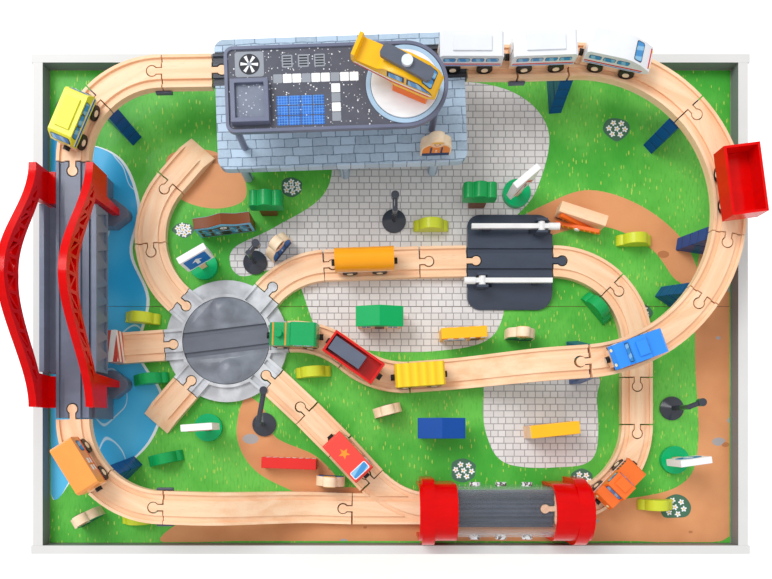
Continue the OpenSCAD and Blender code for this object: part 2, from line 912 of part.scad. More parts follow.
// The plate and ledge by which an arch's end stands beside the deck; in is the side towards the deck
module arch_end(side, in) {
    a = arch_l / 2 - foot_run;
    ledge = (arch_span - track_w) / 2 - seat_fit;
    slab(arch_t) polygon([[side * a, rise], [side * arch_l / 2, rise],
        [side * arch_l / 2, arch_low(1) + arch_chord],
        [side * a, arch_low(a / (arch_l / 2)) + arch_chord]]);
    translate([side * (arch_l - foot_run) / 2, in * (arch_t / 2 + ledge / 2 - over / 2), rise])
        block(foot_run, ledge + over, track_t);
}

// Triangular openings between the chords
module arch_windows() {
    for (i = [-arch_bays / 2:arch_bays / 2 - 1]) {
        a = i / (arch_bays / 2) * arch_window_share;
        b = (i + 1) / (arch_bays / 2) * arch_window_share;
        web = arch_web / arch_l;
        up = i % 2 == 0;
        m = up ? b : a;
        n = up ? a : b;
        lean = (m > n ? -1 : 1) * web;
        polygon([[arch_x(n - lean), arch_low(abs(n)) + arch_chord],
            [arch_x(m + lean), arch_low(abs(m)) + arch_chord],
            [arch_x(m + lean), arch_top(abs(m)) - arch_chord]]);
        polygon([[arch_x(n - lean), arch_low(abs(n)) + arch_chord + arch_web],
            [arch_x(n - lean), arch_top(abs(n)) - arch_chord],
            [arch_x(m + 3 * lean), arch_top(abs(m)) - arch_chord]]);
    }
}

arch_window_share = 0.82;

// A sloping leg from the arch down to its pier
module arch_leg(side) {
    t = leg_place / (arch_l / 2);
    slab(arch_t) polygon([[side * (leg_place - arch_chord), arch_low(t) + arch_chord],
        [side * (leg_place + arch_chord), arch_low(t) + arch_chord],
        [side * (leg_place + arch_web), pier_t], [side * (leg_place - arch_web), pier_t]]);
}

module bridge_arches() {
    color(red) for (side = [-1, 1])
        at(beside(ahead(bridge_start, bridge_l / 2 - joint_gap / 2), side * (arch_span + arch_t) / 2)) {
            arch_truss();
            for (end = [-1, 1]) arch_end(end, -side);
        }
}

module pier_outline() {
    hull() {
        translate([-pier_shift, 0]) square([pier_l - pier_w, pier_w], center = true);
        for (x = [-1, 1])
            translate([x * (pier_l / 2 - pier_w / 4) - pier_shift, 0])
                circle(pier_w / 4, $fn = hull_sides);
    }
}

module bridge_piers() {
    color(plastic_grey) at(bridge_start) {
        for (side = [-1, 1]) translate([bridge_l / 2 - joint_gap / 2 + side * leg_place, 0, 0]) {
            rotate(90) linear_extrude(pier_t) pier_outline();
            block(pier_w / 2, track_w - 2 * girder_t, rise - pier_t, pier_t);
        }
        for (x = [end_block_l / 2, bridge_l - joint_gap - end_block_l / 2])
            translate([x, 0, 0]) block(end_block_l, end_block_w, rise);
    }
}

// Station
station_mid = beside(ahead(station_start, station_track_l / 2 - joint_gap / 2), -platform_track);

module station_platform() {
    bed_w = track_w + 2 * seat_fit;
    color("#a5bed7") at(station_mid) {
        difference() {
            translate([0, 0, platform_top - platform_t]) linear_extrude(platform_t)
                rounded(platform_l, platform_w, platform_corner);
            translate([0, platform_track, 0]) block(platform_l + 2 * over, bed_w, platform_t + over, rise);
        }
        for (s = post_place_shares)
            translate([s[0] * platform_l, s[1] * platform_w, 0])
                cylinder(r = platform_post_r, h = platform_top - platform_t);
    }
    color(dark_grey) at(station_start, rise) straight(station_track_l);
}

// Roof outline round the landing pad's centre, drawn in by an inset
module roof_outline(inset = 0) {
    circle(roof_r - inset);
    translate([-roof_run, 0]) {
        translate([roof_corner, -roof_r + inset]) square([roof_run - roof_corner, 2 * (roof_r - inset)]);
        translate([inset, -roof_r + roof_corner]) square([roof_run - inset, 2 * (roof_r - roof_corner)]);
        for (y = [-1, 1]) translate([roof_corner, y * (roof_r - roof_corner)]) circle(roof_corner - inset);
    }
}

pad_at = beside(ahead(station_mid, pad_place), -platform_w / 2 + roof_front);

module station_roof() {
    color("#4b4b55") at(pad_at) {
        difference() {
            translate([0, 0, roof_top - roof_t]) linear_extrude(roof_t + roof_lip_h) roof_outline();
            translate([0, 0, roof_top]) linear_extrude(roof_lip_h + over) roof_outline(roof_lip_w);
        }
        translate([-roof_run + hatch_place, -roof_r + hatch_w / 2 + hatch_place_front, roof_top])
            difference() {
            block(hatch_l, hatch_w, hatch_h);
            block(hatch_l - 2 * hatch_wall, hatch_w - 2 * hatch_wall, hatch_h, hatch_h - hatch_wall);
        }
    }
    color("#5a6478") at(pad_at) for (s = roof_post_shares)
        translate([s[0] * roof_run, s[1] * roof_r, platform_top])
            cylinder(r = roof_post_r, h = roof_top - roof_t - platform_top);
}

module landing_pad() {
    color("#e8eaee") at(pad_at, roof_top + glue) {
        cylinder(r = pad_r, h = pad_t);
        difference() {
            cylinder(r = pad_r + pad_ring, h = pad_t / 2);
            translate([0, 0, -over]) cylinder(r = pad_r + seat_fit, h = pad_t);
        }
    }
}

heli_at = kinked(pad_at, heli_turn);
heli_z = roof_top + pad_t + 2 * glue;

module helicopter_body() {
    at(heli_at, heli_z) translate([-rotor_place_share * heli_l, 0, 0]) {
        color("#fabe14") difference() {
            translate([0, 0, heli_low]) slab(heli_w)
                polygon([for (s = heli_shares) [s[0] * heli_l, s[1] * heli_h]]);
            translate([rotor_place_share * heli_l, 0, heli_low + heli_h - rotor_pin_l])
                cylinder(r = rotor_pin_r + pivot_fit, h = rotor_pin_l + over);
        }
        color("#f56e28") for (side = [-1, 1])
            translate([heli_l * skid_place_share, side * (skid_w + skid_gap) / 2, 0])
                block(skid_l, skid_w, heli_low);
    }
}

skid_place_share = 0.2;

module helicopter_rotor() {
    color("#5f6470") at(heli_at, heli_z + heli_low + heli_h + seat_fit) {
        rotate(rotor_turn) linear_extrude(rotor_t) rounded(rotor_l, rotor_w, rotor_corner);
        translate([0, 0, -rotor_pin_l + seat_fit]) cylinder(r = rotor_pin_r, h = rotor_pin_l);
        translate([0, 0, rotor_t]) cylinder(r = screw_r, h = screw_t);
    }
}

rotor_corner = 4;

// Turntable
module turntable_ring() {
    spot = [ring_x, ring_y, ring_turn];
    color("#bec3c8") at(spot) difference() {
        union() {
            cylinder(r = ring_r, h = ring_low);
            for (k = ring_ways) rotate(k * curve_a)
                translate([0, -track_w / 2, 0]) cube([ring_reach, track_w, track_t]);
            rotate(curve_a) translate([ring_reach, 0, 0]) peg();
            cylinder(r = disc_r + rim_wall, h = track_t - rim_drop);
        }
        translate([0, 0, ring_floor]) cylinder(r = disc_r + disc_fit, h = track_t);
        translate([0, 0, -over]) cylinder(r = pivot_r + pivot_fit, h = track_t);
        for (k = ring_ways) rotate(k * curve_a) {
            translate([disc_r, 0, 0]) groove_cut(ring_reach - disc_r);
            if (k != 1) translate([ring_reach, 0, 0]) rotate(180) socket();
        }
    }
}

module turntable_disc() {
    color("#737882") at([ring_x, ring_y, ring_turn + disc_turn]) {
        difference() {
            union() {
                translate([0, 0, disc_low]) cylinder(r = disc_r, h = track_t - disc_low);
                translate([0, 0, seat_fit]) cylinder(r = pivot_r, h = track_t / 2);
            }
            translate([-disc_r, 0, 0]) groove_cut(2 * disc_r);
        }
        for (side = [-1, 1]) intersection() {
            translate([0, side * disc_r * rock_place_share, track_t]) difference() {
                ball_cap(rock_r, rock_h);
                translate([0, 0, -rock_r]) block(2 * rock_r, 2 * rock_r, rock_r);
            }
            translate([0, 0, track_t]) cylinder(r = disc_r, h = rock_h);
        }
    }
}

// The cap of a ball that is r wide at its foot and h high
module ball_cap(r, h) {
    big = (r * r + h * h) / (2 * h);
    translate([0, 0, h - big]) sphere(big);
}

// Level crossing
module crossing_base() {
    half = crossing_w / 2;
    run = crossing_l - joint_gap;
    color(dark_grey) at(crossing_start) difference() {
        union() {
            intersection() {
                translate([run / 2, 0, 0]) slab_across(run)
                    polygon([[-half, 0], [half, 0], [half, crossing_edge],
                    [half - crossing_ramp, crossing_t], [-half + crossing_ramp, crossing_t],
                        [-half, crossing_edge]]);
                translate([run / 2, 0, 0]) linear_extrude(crossing_t)
                    rounded(run, crossing_w, crossing_corner);
            }
            translate([0, -track_w / 2, 0]) cube([run, track_w, track_t]);
            translate([run, 0, 0]) peg();
            stand(run, 1);
            stand(run, -1);
        }
        socket();
        groove_cut(run);
        for (side = [1, -1]) boom_place(run, side) {
            pin_slot = knob_d + 2 * slot_fit;
            translate([boom_short / 2, 0, 0])
                block(boom_short + 2 * cheek_l, pin_slot, crossing_t, slot_floor);
        }
    }
}

// The frame of a barrier: X runs from the pivot towards its knob
module boom_place(run, side) {
    x = side > 0 ? run - boom_pivot_inset : boom_pivot_inset;
    y = side > 0 ? boom_offset_rear : boom_offset_front;
    translate([x, y, 0]) rotate(side > 0 ? 0 : 180) children();
}

module stand(run, side) {
    boom_place(run, side) {
        for (c = [-1, 1])
            translate([0, c * (boom_w / 2 + boom_side + cheek_t / 2), slot_floor])
                block(cheek_l, cheek_t, boom_z + boom_t - slot_floor);
        translate([0, 0, boom_z]) pin(boom_pin_r, boom_w + 2 * boom_side + cheek_t);
        translate([-rest_place, 0, slot_floor])
            block(rest_l, boom_w, boom_z - boom_t / 2 - seat_fit - slot_floor);
    }
}

rest_place = boom_l - boom_short - 2 * rest_l;

// A boom along X with its pivot at the origin and its knob end towards +X
module boom() {
    difference() {
        union() {
            translate([-boom_l + boom_short, -boom_w / 2, -boom_t / 2])
                cube([boom_l - knob_run, boom_w, boom_t]);
            translate([boom_short - knob_run - over, 0, 0]) rotate([0, 90, 0])
                cylinder(d = knob_d, h = knob_run + over);
            pin(boom_hub_r, boom_w + 2 * (boom_side - seat_fit));
        }
        pin(boom_pin_r + boom_fit, boom_w + 2 * boom_side);
    }
}

module barrier_rear() {
    color("#f2f2f2") at(crossing_start) boom_place(crossing_l - joint_gap, 1) translate([0, 0, boom_z])
        boom();
}

module barrier_front() {
    color("#f2f2f2") at(crossing_start) boom_place(crossing_l - joint_gap, -1) translate([0, 0, boom_z])
        boom();
}

// Tunnel
module tunnel_outline(half, top) {
    translate([-half, 0]) square([2 * half, top - half]);
    translate([0, top - half]) circle(half);
}

tunnel_mid = ahead(tunnel_start, tunnel_l / 2 - joint_gap / 2 + tunnel_shift);

module tunnel_base() {
    edge = tunnel_base_half - track_w / 2;
    color(dark_grey) at(tunnel_start) {
        straight(tunnel_l);
        for (side = [-1, 1])
            translate([tunnel_l / 2 - joint_gap / 2, side * (track_w + edge) / 2, 0])
                block(tunnel_l - joint_gap, edge, track_t - groove_d);
    }
}

module tunnel_shell() {
    run = 2 * (tunnel_out - portal_l + portal_grip);
    color("#dfe8ee", 0.5) at(tunnel_mid) difference() {
        union() {
            slab_across(run) tunnel_outline(tunnel_half, tunnel_h);
            for (side = [-1, 1], k = [-1, 0, 1])
                translate([k * stud_step, side * (tunnel_half - shell_t / 2), tunnel_h * stud_z_share])
                    rotate([-side * 90, 0, 0]) cylinder(r = stud_r, h = stud_h + shell_t / 2);
        }
        translate([0, 0, -over]) slab_across(run + 2 * over)
            tunnel_outline(tunnel_half - shell_t, tunnel_h - shell_t + over);
    }
}

// A red portal whose mouth is at X 0 and whose hood runs back along +X
module portal() {
    half = tunnel_half + portal_fit;
    top = tunnel_h + portal_fit;
    difference() {
        union() {
            translate([portal_l / 2, 0, 0]) slab_across(portal_l)
                tunnel_outline(half + portal_t, top + portal_t);
            translate([portal_lip_inset + portal_lip_l / 2, 0, 0])
                slab_across(portal_lip_l) tunnel_outline(half + portal_t + portal_lip_t, top + portal_t);
        }
        translate([portal_l / 2, 0, -over]) slab_across(portal_l + 2 * over)
            tunnel_outline(half, top + over);
    }
}

module tunnel_portals() {
    color(red) for (turn = [0, 180]) at(kinked(tunnel_mid, turn)) translate([-tunnel_out, 0, 0]) portal();
}

// Vehicles: X is forward, Z 0 is the top of the track
module axle_set() {
    translate([0, 0, axle_z]) {
        pin(axle_d / 2, gauge + wheel_t);
        for (side = [-1, 1]) translate([0, side * gauge / 2, 0]) {
            pin(wheel_r, wheel_t);
            translate([0, side * (wheel_t + hub_t) / 2, 0]) pin(hub_r, hub_t);
        }
    }
}

module chassis(l) {
    difference() {
        block(l, chassis_w, deck_z - chassis_low, chassis_low);
        for (x = [-1, 1]) translate([x * wheelbase / 2, 0, axle_z])
            pin(axle_d / 2 + axle_fit, chassis_w + 2 * over);
    }
    for (x = [-1, 1]) translate([x * (l / 2 + coupler_l / 2 + glue), 0, coupler_z]) rotate([0, 90, 0])
        cylinder(r = coupler_r, h = coupler_l, center = true);
}

// A body whose side outline is given as shares of its length and of its height over the chassis
module cab(shares, l, w = car_w, h = body_h) {
    translate([0, 0, deck_z + glue]) slab(w) polygon([for (s = shares) [s[0] * l, s[1] * h]]);
}

module fixed_wheels() {
    for (x = [-1, 1]) translate([x * wheelbase / 2, 0, 0]) axle_set();
}

box_shares = [[-0.5, 0], [0.5, 0], [0.5, 0.86], [0.46, 1], [-0.46, 1], [-0.5, 0.86]];
tram_shares = [[-0.5, 0], [0.5, 0], [0.52, 0.3], [0.44, 0.82], [0.4, 0.9], [-0.4, 0.9], [-0.44, 0.82],
    [-0.52, 0.3]];
loco_shares = [[-0.5, 0], [0.5, 0], [0.5, 0.3], [0.44, 0.52], [0.08, 0.6], [0.04, 0.9], [-0.42, 0.9],
    [-0.46, 0.8]];
diesel_shares = [[-0.5, 0], [0.5, 0], [0.52, 0.2], [0.46, 0.5], [0.26, 0.56], [0.2, 0.95], [-0.12, 0.95],
    [-0.16, 0.6], [-0.46, 0.6], [-0.5, 0.5]];
nose_shares = [[-0.5, 0], [0.46, 0], [0.57, 0.12], [0.55, 0.3], [0.38, 0.68], [0.22, 0.92],
    [0.08, 1], [-0.46, 1], [-0.5, 0.9]];
coach_shares = [[-0.5, 0], [0.5, 0], [0.5, 0.9], [0.46, 1], [-0.46, 1], [-0.5, 0.9]];
roof_strip_share = 0.6;
roof_strip_h = 2;

module roof_strip(l, z_share) {
    translate([0, 0, deck_z + 2 * glue + z_share * body_h])
        block(l * roof_strip_share, car_w * roof_strip_share, roof_strip_h);
}

module tram_body() {
    color("#e1e13c") at(tram_at, rise + track_t) {
        chassis(loco_l);
        cab(tram_shares, loco_l);
        roof_strip(loco_l, tram_shares[4][1]);
    }
}

// An open box of outer size l by w by h, with a floor and walls
module open_box(l, w, h, wall) {
    difference() {
        block(l, w, h);
        block(l - 2 * wall, w - 2 * wall, h, wall);
    }
}

box_wall = 3;
module parcel_wagon_body() {
    color("#f56e28") at(parcel_at, rise + track_t) {
        chassis(loco_l);
        cab(box_shares, loco_l);
    }
}

chimney_r = 4.5;
chimney_h = 6;
chimney_share = 0.3;

module blue_loco_body() {
    color("#288cf0") at(blue_at, rise + track_t) {
        chassis(loco_l);
        cab(diesel_shares, loco_l);
        roof_strip(loco_l / 3, diesel_shares[5][1]);
    }
}

dumper_l = 80;
dumper_w = 42;
dumper_h = 27;

module dumper_body() {
    color(red) at(dumper_at, rise + track_t) {
        chassis(loco_l);
        translate([0, 0, deck_z + glue]) open_box(dumper_l, dumper_w, dumper_h, box_wall);
    }
}

module orange_loco_body() {
    color("#f56e28") at(orange_at, track_t) {
        chassis(loco_l);
        cab(diesel_shares, loco_l);
        roof_strip(loco_l / 3, diesel_shares[5][1]);
    }
}

module fire_wagon_body() {
    color("#eb463c") at(fire_at, track_t) {
        chassis(loco_l);
        cab(box_shares, loco_l);
    }
}

module covered_wagon_body() {
    color("#faa00a") at(covered_at, track_t) {
        chassis(wagon_l);
        translate([0, 0, deck_z + glue]) block(wagon_l, car_w, body_h - car_w / 2);
        translate([0, 0, deck_z + glue + body_h - car_w / 2]) intersection() {
            rotate([0, 90, 0]) cylinder(d = car_w, h = wagon_l, center = true);
            block(wagon_l, car_w, car_w / 2);
        }
    }
}

module passenger_car() {
    chassis(wagon_l);
    cab(coach_shares, wagon_l);
    roof_strip(wagon_l, coach_shares[3][1]);
    fixed_wheels();
}

module passenger_car_one() {
    color("#f0f0f2") at(car_one_at, rise + track_t) passenger_car();
}

module passenger_car_two() {
    color("#f0f0f2") at(car_two_at, rise + track_t) passenger_car();
}

module passenger_nose_car() {
    color("#f0f0f2") at(nose_at, rise + track_t) {
        chassis(wagon_l);
        cab(nose_shares, wagon_l);
        fixed_wheels();
    }
}

module green_loco() {
    color("#0aa05a") at(green_at, track_t) {
        chassis(loco_l);
        cab(loco_shares, loco_l);
        translate([loco_l * chimney_share, 0, deck_z + 2 * glue + loco_shares[4][1] * body_h])
            cylinder(r = chimney_r, h = chimney_h);
        fixed_wheels();
    }
}

hopper_h = 20;
hopper_side = 1;
load_place_share = 0.125;
load_share = 0.62;
load_fill_share = 0.8;

module hopper_wagon() {
    color(red) at(hopper_at, track_t) {
        chassis(wagon_l);
        translate([0, 0, deck_z + glue]) open_box(wagon_l, car_w + 2 * hopper_side, hopper_h, box_wall);
        fixed_wheels();
    }
    color(plastic_grey) at(hopper_at, track_t)
        translate([wagon_l * load_place_share, 0, deck_z + box_wall + 2 * glue])
            block(wagon_l * load_share, (car_w - 2 * box_wall) * load_fill_share, hopper_h);
}

module tender_wagon() {
    color("#facd1e") at(tender_at, track_t) {
        chassis(loco_l);
        cab(box_shares, loco_l);
        fixed_wheels();
    }
}

// The two axles of each vehicle that rolls by itself
module axle(p, z, x) {
    color("#202020") at(p, z) translate([x * wheelbase / 2, 0, 0]) axle_set();
}

// Scenery
module trees() {
    for (p = tree_places) at(p) {
        color("#6b3a1e") block(tree_w / 2, tree_t, tree_h * trunk_share);
        color(green) translate([0, 0, tree_h * trunk_share + glue]) slab(tree_t) {
            translate([-tree_w / 2, 0]) square([tree_w, tree_h * (1 - trunk_share) / 2]);
            for (x = [-1, 0, 1])
                translate([x * tree_w / 3, tree_h * (1 - trunk_share) / 2])
                    circle(x == 0 ? tree_w / 4 : tree_w / 6);
        }
    }
}

trunk_share = 0.4;

module bushes() {
    for (i = [0:len(bush_places) - 1]) at(bush_places[i])
        color(i < lime_count ? lime : green) intersection() {
            slab(bush_t) for (x = [-1, 0, 1])
                translate([x * bush_l * lobe_place_share, x == 0 ? bush_h / 3 : 0])
                    circle(x == 0 ? bush_h * 2 / 3 : bush_l * lobe_r_share);
            block(bush_l, bush_t, bush_h);
        }
}

lime_count = 6;

module signs() {
    for (p = sign_places) at(p) {
        color(green) difference() {
            cylinder(r = sign_base_r, h = sign_base_h);
            translate([0, 0, sign_base_h / 3])
                block(sign_post_w + 2 * bolt_fit, sign_t + 2 * bolt_fit, sign_base_h);
        }
        color(beech) {
            translate([0, 0, sign_base_h / 3 + glue])
                block(sign_post_w, sign_t, sign_post_l + sign_base_h);
            translate([0, 0, sign_base_h / 3 + sign_post_l + sign_base_h + glue])
                block(sign_w, sign_t, sign_h);
        }
    }
}

module lamps() {
    color(dark_grey) for (i = [0:len(lamp_places) - 1]) at(lamp_places[i]) {
        rotate_extrude()
            polygon([[0, 0], [lamp_base_r, 0], [lamp_base_r, lamp_base_h / 3],
                [lamp_post_r, lamp_base_h], [0, lamp_base_h]]);
        translate([0, 0, lamp_base_h - over]) cylinder(r = lamp_post_r, h = lamp_h - lamp_base_h + over);
        translate([0, 0, lamp_h - lamp_post_r]) rotate([0, 90, 0])
            cylinder(r = lamp_post_r, h = lamp_arm * lamp_arm_shares[i]);
        translate([lamp_arm * lamp_arm_shares[i], 0, lamp_h - lamp_post_r - lamp_head_r])
            cylinder(r = lamp_head_r, h = 2 * lamp_head_r);
    }
}

module gable_house() {
    half = cabin_l / 2;
    color(beech) block(cabin_l - 2 * cabin_eave, cabin_w - 2 * cabin_eave, cabin_h);
    color(green) translate([0, 0, cabin_h + glue]) slab(cabin_w)
        polygon([[-half, 0], [half, 0], [half, cabin_eave], [0, cabin_roof], [-half, cabin_eave]]);
}

module panel(w, h, t, crown) {
    slab(t) polygon([[-w / 2, 0], [w / 2, 0], [w / 2, h * (1 - crown)], [w / 4, h * (1 - crown)],
        [0, h], [-w / 4, h * (1 - crown)],
        [-w / 2, h * (1 - crown)]]);
}

panel_crown_share = 0.18;

module houses() {
    at(hall_at) gable_house();
    at(cabin_at) gable_house();
    color("#fab41e") at(shop_at) panel(panel_w, panel_h, panel_t, 0);
    color("#6b3a1e") at(front_at) panel(front_w, front_h, panel_t, panel_crown_share);
    color("#e66e1e") at(mill_at) {
        panel(mill_w, mill_h, panel_t, 0);
        for (k = [0, 1])
            translate([0, -panel_t / 2 - (k + 1) * glue - k * sail_t - sail_t / 2, mill_h / 2])
                rotate([0, k == 0 ? sail_turn : -sail_turn, 0]) block(sail_l, sail_t, sail_w, -sail_w / 2);
    }
    color("#fab41e") at(crane_at) panel(crane_l, crane_h, crane_w, 0);
    color(red) at(fence_at) panel(fence_l, fence_h, fence_w, 0);
}

module figure() {
    slab(figure_t) {
        translate([-figure_w / 2, 0]) square([figure_w, figure_h / 3]);
        translate([0, figure_w / 2]) circle(figure_w / 2);
        translate([0, figure_h - figure_w / 4]) circle(figure_w / 4);
    }
}

module figures() {
    color(beech) {
        for (p = figure_places) at(p) figure();
        at(beside(ahead(station_mid, platform_l * guard_shares[0]), platform_w * guard_shares[1]),
            platform_top)
            figure();
    }
}

long_rails();
short_rails();
play_boards();
legs();
leg_glides();
board_battens();
frame_bolts();
on_board() ground_track();
on_board() raised_track();
on_board() track_clips();
on_board() support_blocks();
on_board() bridge_deck();
on_board() bridge_arches();
on_board() bridge_piers();
on_board() station_platform();
on_board() station_roof();
on_board() landing_pad();
on_board() helicopter_body();
on_board() helicopter_rotor();
on_board() turntable_ring();
on_board() turntable_disc();
on_board() crossing_base();
on_board() barrier_rear();
on_board() barrier_front();
on_board() tunnel_base();
on_board() tunnel_shell();
on_board() tunnel_portals();
on_board() trees();
on_board() bushes();
on_board() signs();
on_board() lamps();
on_board() houses();
on_board() figures();
on_board() tram_body();
on_board() axle(tram_at, rise + track_t, 1);  // tram_front_axle
on_board() axle(tram_at, rise + track_t, -1);  // tram_rear_axle
on_board() parcel_wagon_body();
on_board() axle(parcel_at, rise + track_t, 1);  // parcel_wagon_front_axle
on_board() axle(parcel_at, rise + track_t, -1);  // parcel_wagon_rear_axle
on_board() blue_loco_body();
on_board() axle(blue_at, rise + track_t, 1);  // blue_loco_front_axle
on_board() axle(blue_at, rise + track_t, -1);  // blue_loco_rear_axle
on_board() dumper_body();
on_board() axle(dumper_at, rise + track_t, 1);  // dumper_front_axle
on_board() axle(dumper_at, rise + track_t, -1);  // dumper_rear_axle
on_board() orange_loco_body();
on_board() axle(orange_at, track_t, 1);  // orange_loco_front_axle
on_board() axle(orange_at, track_t, -1);  // orange_loco_rear_axle
on_board() fire_wagon_body();
on_board() axle(fire_at, track_t, 1);  // fire_wagon_front_axle
on_board() axle(fire_at, track_t, -1);  // fire_wagon_rear_axle
on_board() covered_wagon_body();
on_board() axle(covered_at, track_t, 1);  // covered_wagon_front_axle
on_board() axle(covered_at, track_t, -1);  // covered_wagon_rear_axle
on_board() passenger_car_one();
on_board() passenger_car_two();
on_board() passenger_nose_car();
on_board() green_loco();
on_board() hopper_wagon();
on_board() tender_wagon();
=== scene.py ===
import math

import bmesh
import bpy
from mathutils import Matrix, Vector


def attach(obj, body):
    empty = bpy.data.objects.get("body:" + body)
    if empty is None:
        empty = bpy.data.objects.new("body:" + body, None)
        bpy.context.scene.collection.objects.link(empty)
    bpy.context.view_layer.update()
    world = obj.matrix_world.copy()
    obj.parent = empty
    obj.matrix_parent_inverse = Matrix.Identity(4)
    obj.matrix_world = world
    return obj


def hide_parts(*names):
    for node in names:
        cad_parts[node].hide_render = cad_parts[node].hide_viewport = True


bl_info = {
    "name": "Train Table",
    "version": (1, 0, 0),
    "blender": (4, 5, 0),
    "location": "View3D > Sidebar > Train Table",
    "description": "Dresses a wooden train table with its track, trains and scenery",
    "category": "Object",
}

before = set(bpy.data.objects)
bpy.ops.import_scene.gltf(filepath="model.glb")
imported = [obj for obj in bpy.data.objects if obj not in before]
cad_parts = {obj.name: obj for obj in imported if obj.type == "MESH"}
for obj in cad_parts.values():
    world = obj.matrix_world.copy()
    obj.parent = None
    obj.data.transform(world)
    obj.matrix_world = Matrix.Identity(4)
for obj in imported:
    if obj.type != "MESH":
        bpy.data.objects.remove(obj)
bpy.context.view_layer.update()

# Sizes are in millimetres unless a line says otherwise
MM = 0.001
BOARD = 400.0
GROUND_TRACK = 412.0
RAISED_TRACK = 478.0
ROOF = 550.0
PAD_X, PAD_Y = 13.483, 222.003
TURNTABLE_X, TURNTABLE_Y = -212.0, -46.0
RIM_X, RIM_Y = 443.0, 307.5
SEAM = 0.26
SUNK = 0.3
SHARP = math.radians(34)

# A rail vehicle, from the top of its track
HALF = 14.5
DECK = 17.25
CAB = 24.8
AXLE_X, AXLE_Z = 19.0, 6.9
PIN_R, HUB_R = 1.75, 4.15
COUPLER_L, COUPLER_TOP = 5.4, 15.0

GLOSSY = {"rough": 0.3, "coat": 0.2}
SHINY = {"rough": 0.28, "coat": 0.3}
LEAFY = {"rough": 0.34, "coat": 0.15}


def rgb(red, green, blue):
    """A colour written in 0 to 255 steps, as a linear colour."""
    def linear(step):
        share = step / 255
        return share / 12.92 if share <= 0.04045 else ((share + 0.055) / 1.055) ** 2.4
    return (linear(red), linear(green), linear(blue), 1.0)


def toned(colour, factor):
    """The same colour, brighter or darker."""
    return tuple(min(1.0, part * factor) for part in colour[:3]) + (1.0,)


# Shader sums


def sum_of(operation, swapped=False):
    """A method that joins two values with one Math node."""
    def method(self, other=0.0):
        return self.join(operation, *((other, self) if swapped else (self, other)))
    return method


class Value:
    """A shader socket that takes part in Python sums."""

    def __init__(self, tree, socket):
        self.tree = tree
        self.socket = socket

    def join(self, operation, *items):
        node = self.tree.nodes.new("ShaderNodeMath")
        node.operation = operation
        for socket, item in zip(node.inputs, items):
            if isinstance(item, Value):
                self.tree.links.new(item.socket, socket)
            else:
                socket.default_value = item
        return Value(self.tree, node.outputs[0])

    __add__ = sum_of("ADD")
    __radd__ = sum_of("ADD", True)
    __sub__ = sum_of("SUBTRACT")
    __rsub__ = sum_of("SUBTRACT", True)
    __mul__ = sum_of("MULTIPLY")
    __pow__ = sum_of("POWER")
    __lt__ = sum_of("LESS_THAN")
    __gt__ = sum_of("GREATER_THAN")
    __abs__ = sum_of("ABSOLUTE")
    largest = sum_of("MAXIMUM")
    smallest = sum_of("MINIMUM")
    wrapped = sum_of("PINGPONG")


class Finish:
    """One material and the nodes that make it."""

    def __init__(self, name):
        self.material = bpy.data.materials.new(name)
        self.material.use_nodes = True
        self.tree = self.material.node_tree
        self.tree.nodes.clear()

    def node(self, kind, settings=None, sockets=None, out=0):
        node = self.tree.nodes.new(kind)
        for name, setting in (settings or {}).items():
            setattr(node, name, setting)
        for key, item in (sockets or {}).items():
            if isinstance(item, Value):
                self.tree.links.new(item.socket, node.inputs[key])
            else:
                node.inputs[key].default_value = item
        return Value(self.tree, node.outputs[out]) if len(node.outputs) else None

    def spot(self):
        return self.node("ShaderNodeTexCoord", out=3)

    def grain(self):
        return self.node("ShaderNodeAttribute", {"attribute_name": "grain"}, out=1)

    def scaled(self, vector, factors):
        return self.node("ShaderNodeVectorMath", {"operation": "MULTIPLY"}, {0: vector, 1: factors})

    def moved(self, vector, other):
        return self.node("ShaderNodeVectorMath", {"operation": "ADD"}, {0: vector, 1: other})

    def parts(self, vector):
        node = self.tree.nodes.new("ShaderNodeSeparateXYZ")
        self.tree.links.new(vector.socket, node.inputs[0])
        return [Value(self.tree, socket) for socket in node.outputs]

    def noise(self, vector, scale, detail=2.0, out=0):
        return self.node("ShaderNodeTexNoise", None,
                         {"Vector": vector, "Scale": scale, "Detail": detail, "Roughness": 0.55}, out)

    def cells(self, vector, scale, feature="F1", out=0):
        return self.node("ShaderNodeTexVoronoi", {"feature": feature},
                         {"Vector": vector, "Scale": scale}, out)

    def mix(self, share, first, second):
        return self.node("ShaderNodeMix", {"data_type": "RGBA"}, {0: share, 6: first, 7: second}, 2)

    def step(self, value, low, high):
        return self.node("ShaderNodeMapRange", {"interpolation_type": "SMOOTHSTEP"},
                         {0: value, 1: low, 2: high, 3: 0.0, 4: 1.0})

    def bump(self, height, depth):
        return self.node("ShaderNodeBump", None, {"Height": height, "Distance": depth, "Strength": 1.0})

    def shaded(self, colour, rough, normal=None, **constants):
        sockets = {"Base Color": colour, "Roughness": rough, "Specular IOR Level": 0.22}
        if normal is not None:
            sockets["Normal"] = normal
        for name, item in constants.items():
            sockets[name.replace("_", " ").title().replace("Ior", "IOR")] = item
        shader = self.node("ShaderNodeBsdfPrincipled", None, sockets)
        self.node("ShaderNodeOutputMaterial", None, {"Surface": shader})
        return self.material


MADE = {}


def finish(name, maker, *settings, **more):
    """Makes a finish once, and gives the same one afterwards."""
    if name not in MADE:
        MADE[name] = maker(Finish(name), *settings, **more)
    return MADE[name]


# Finishes


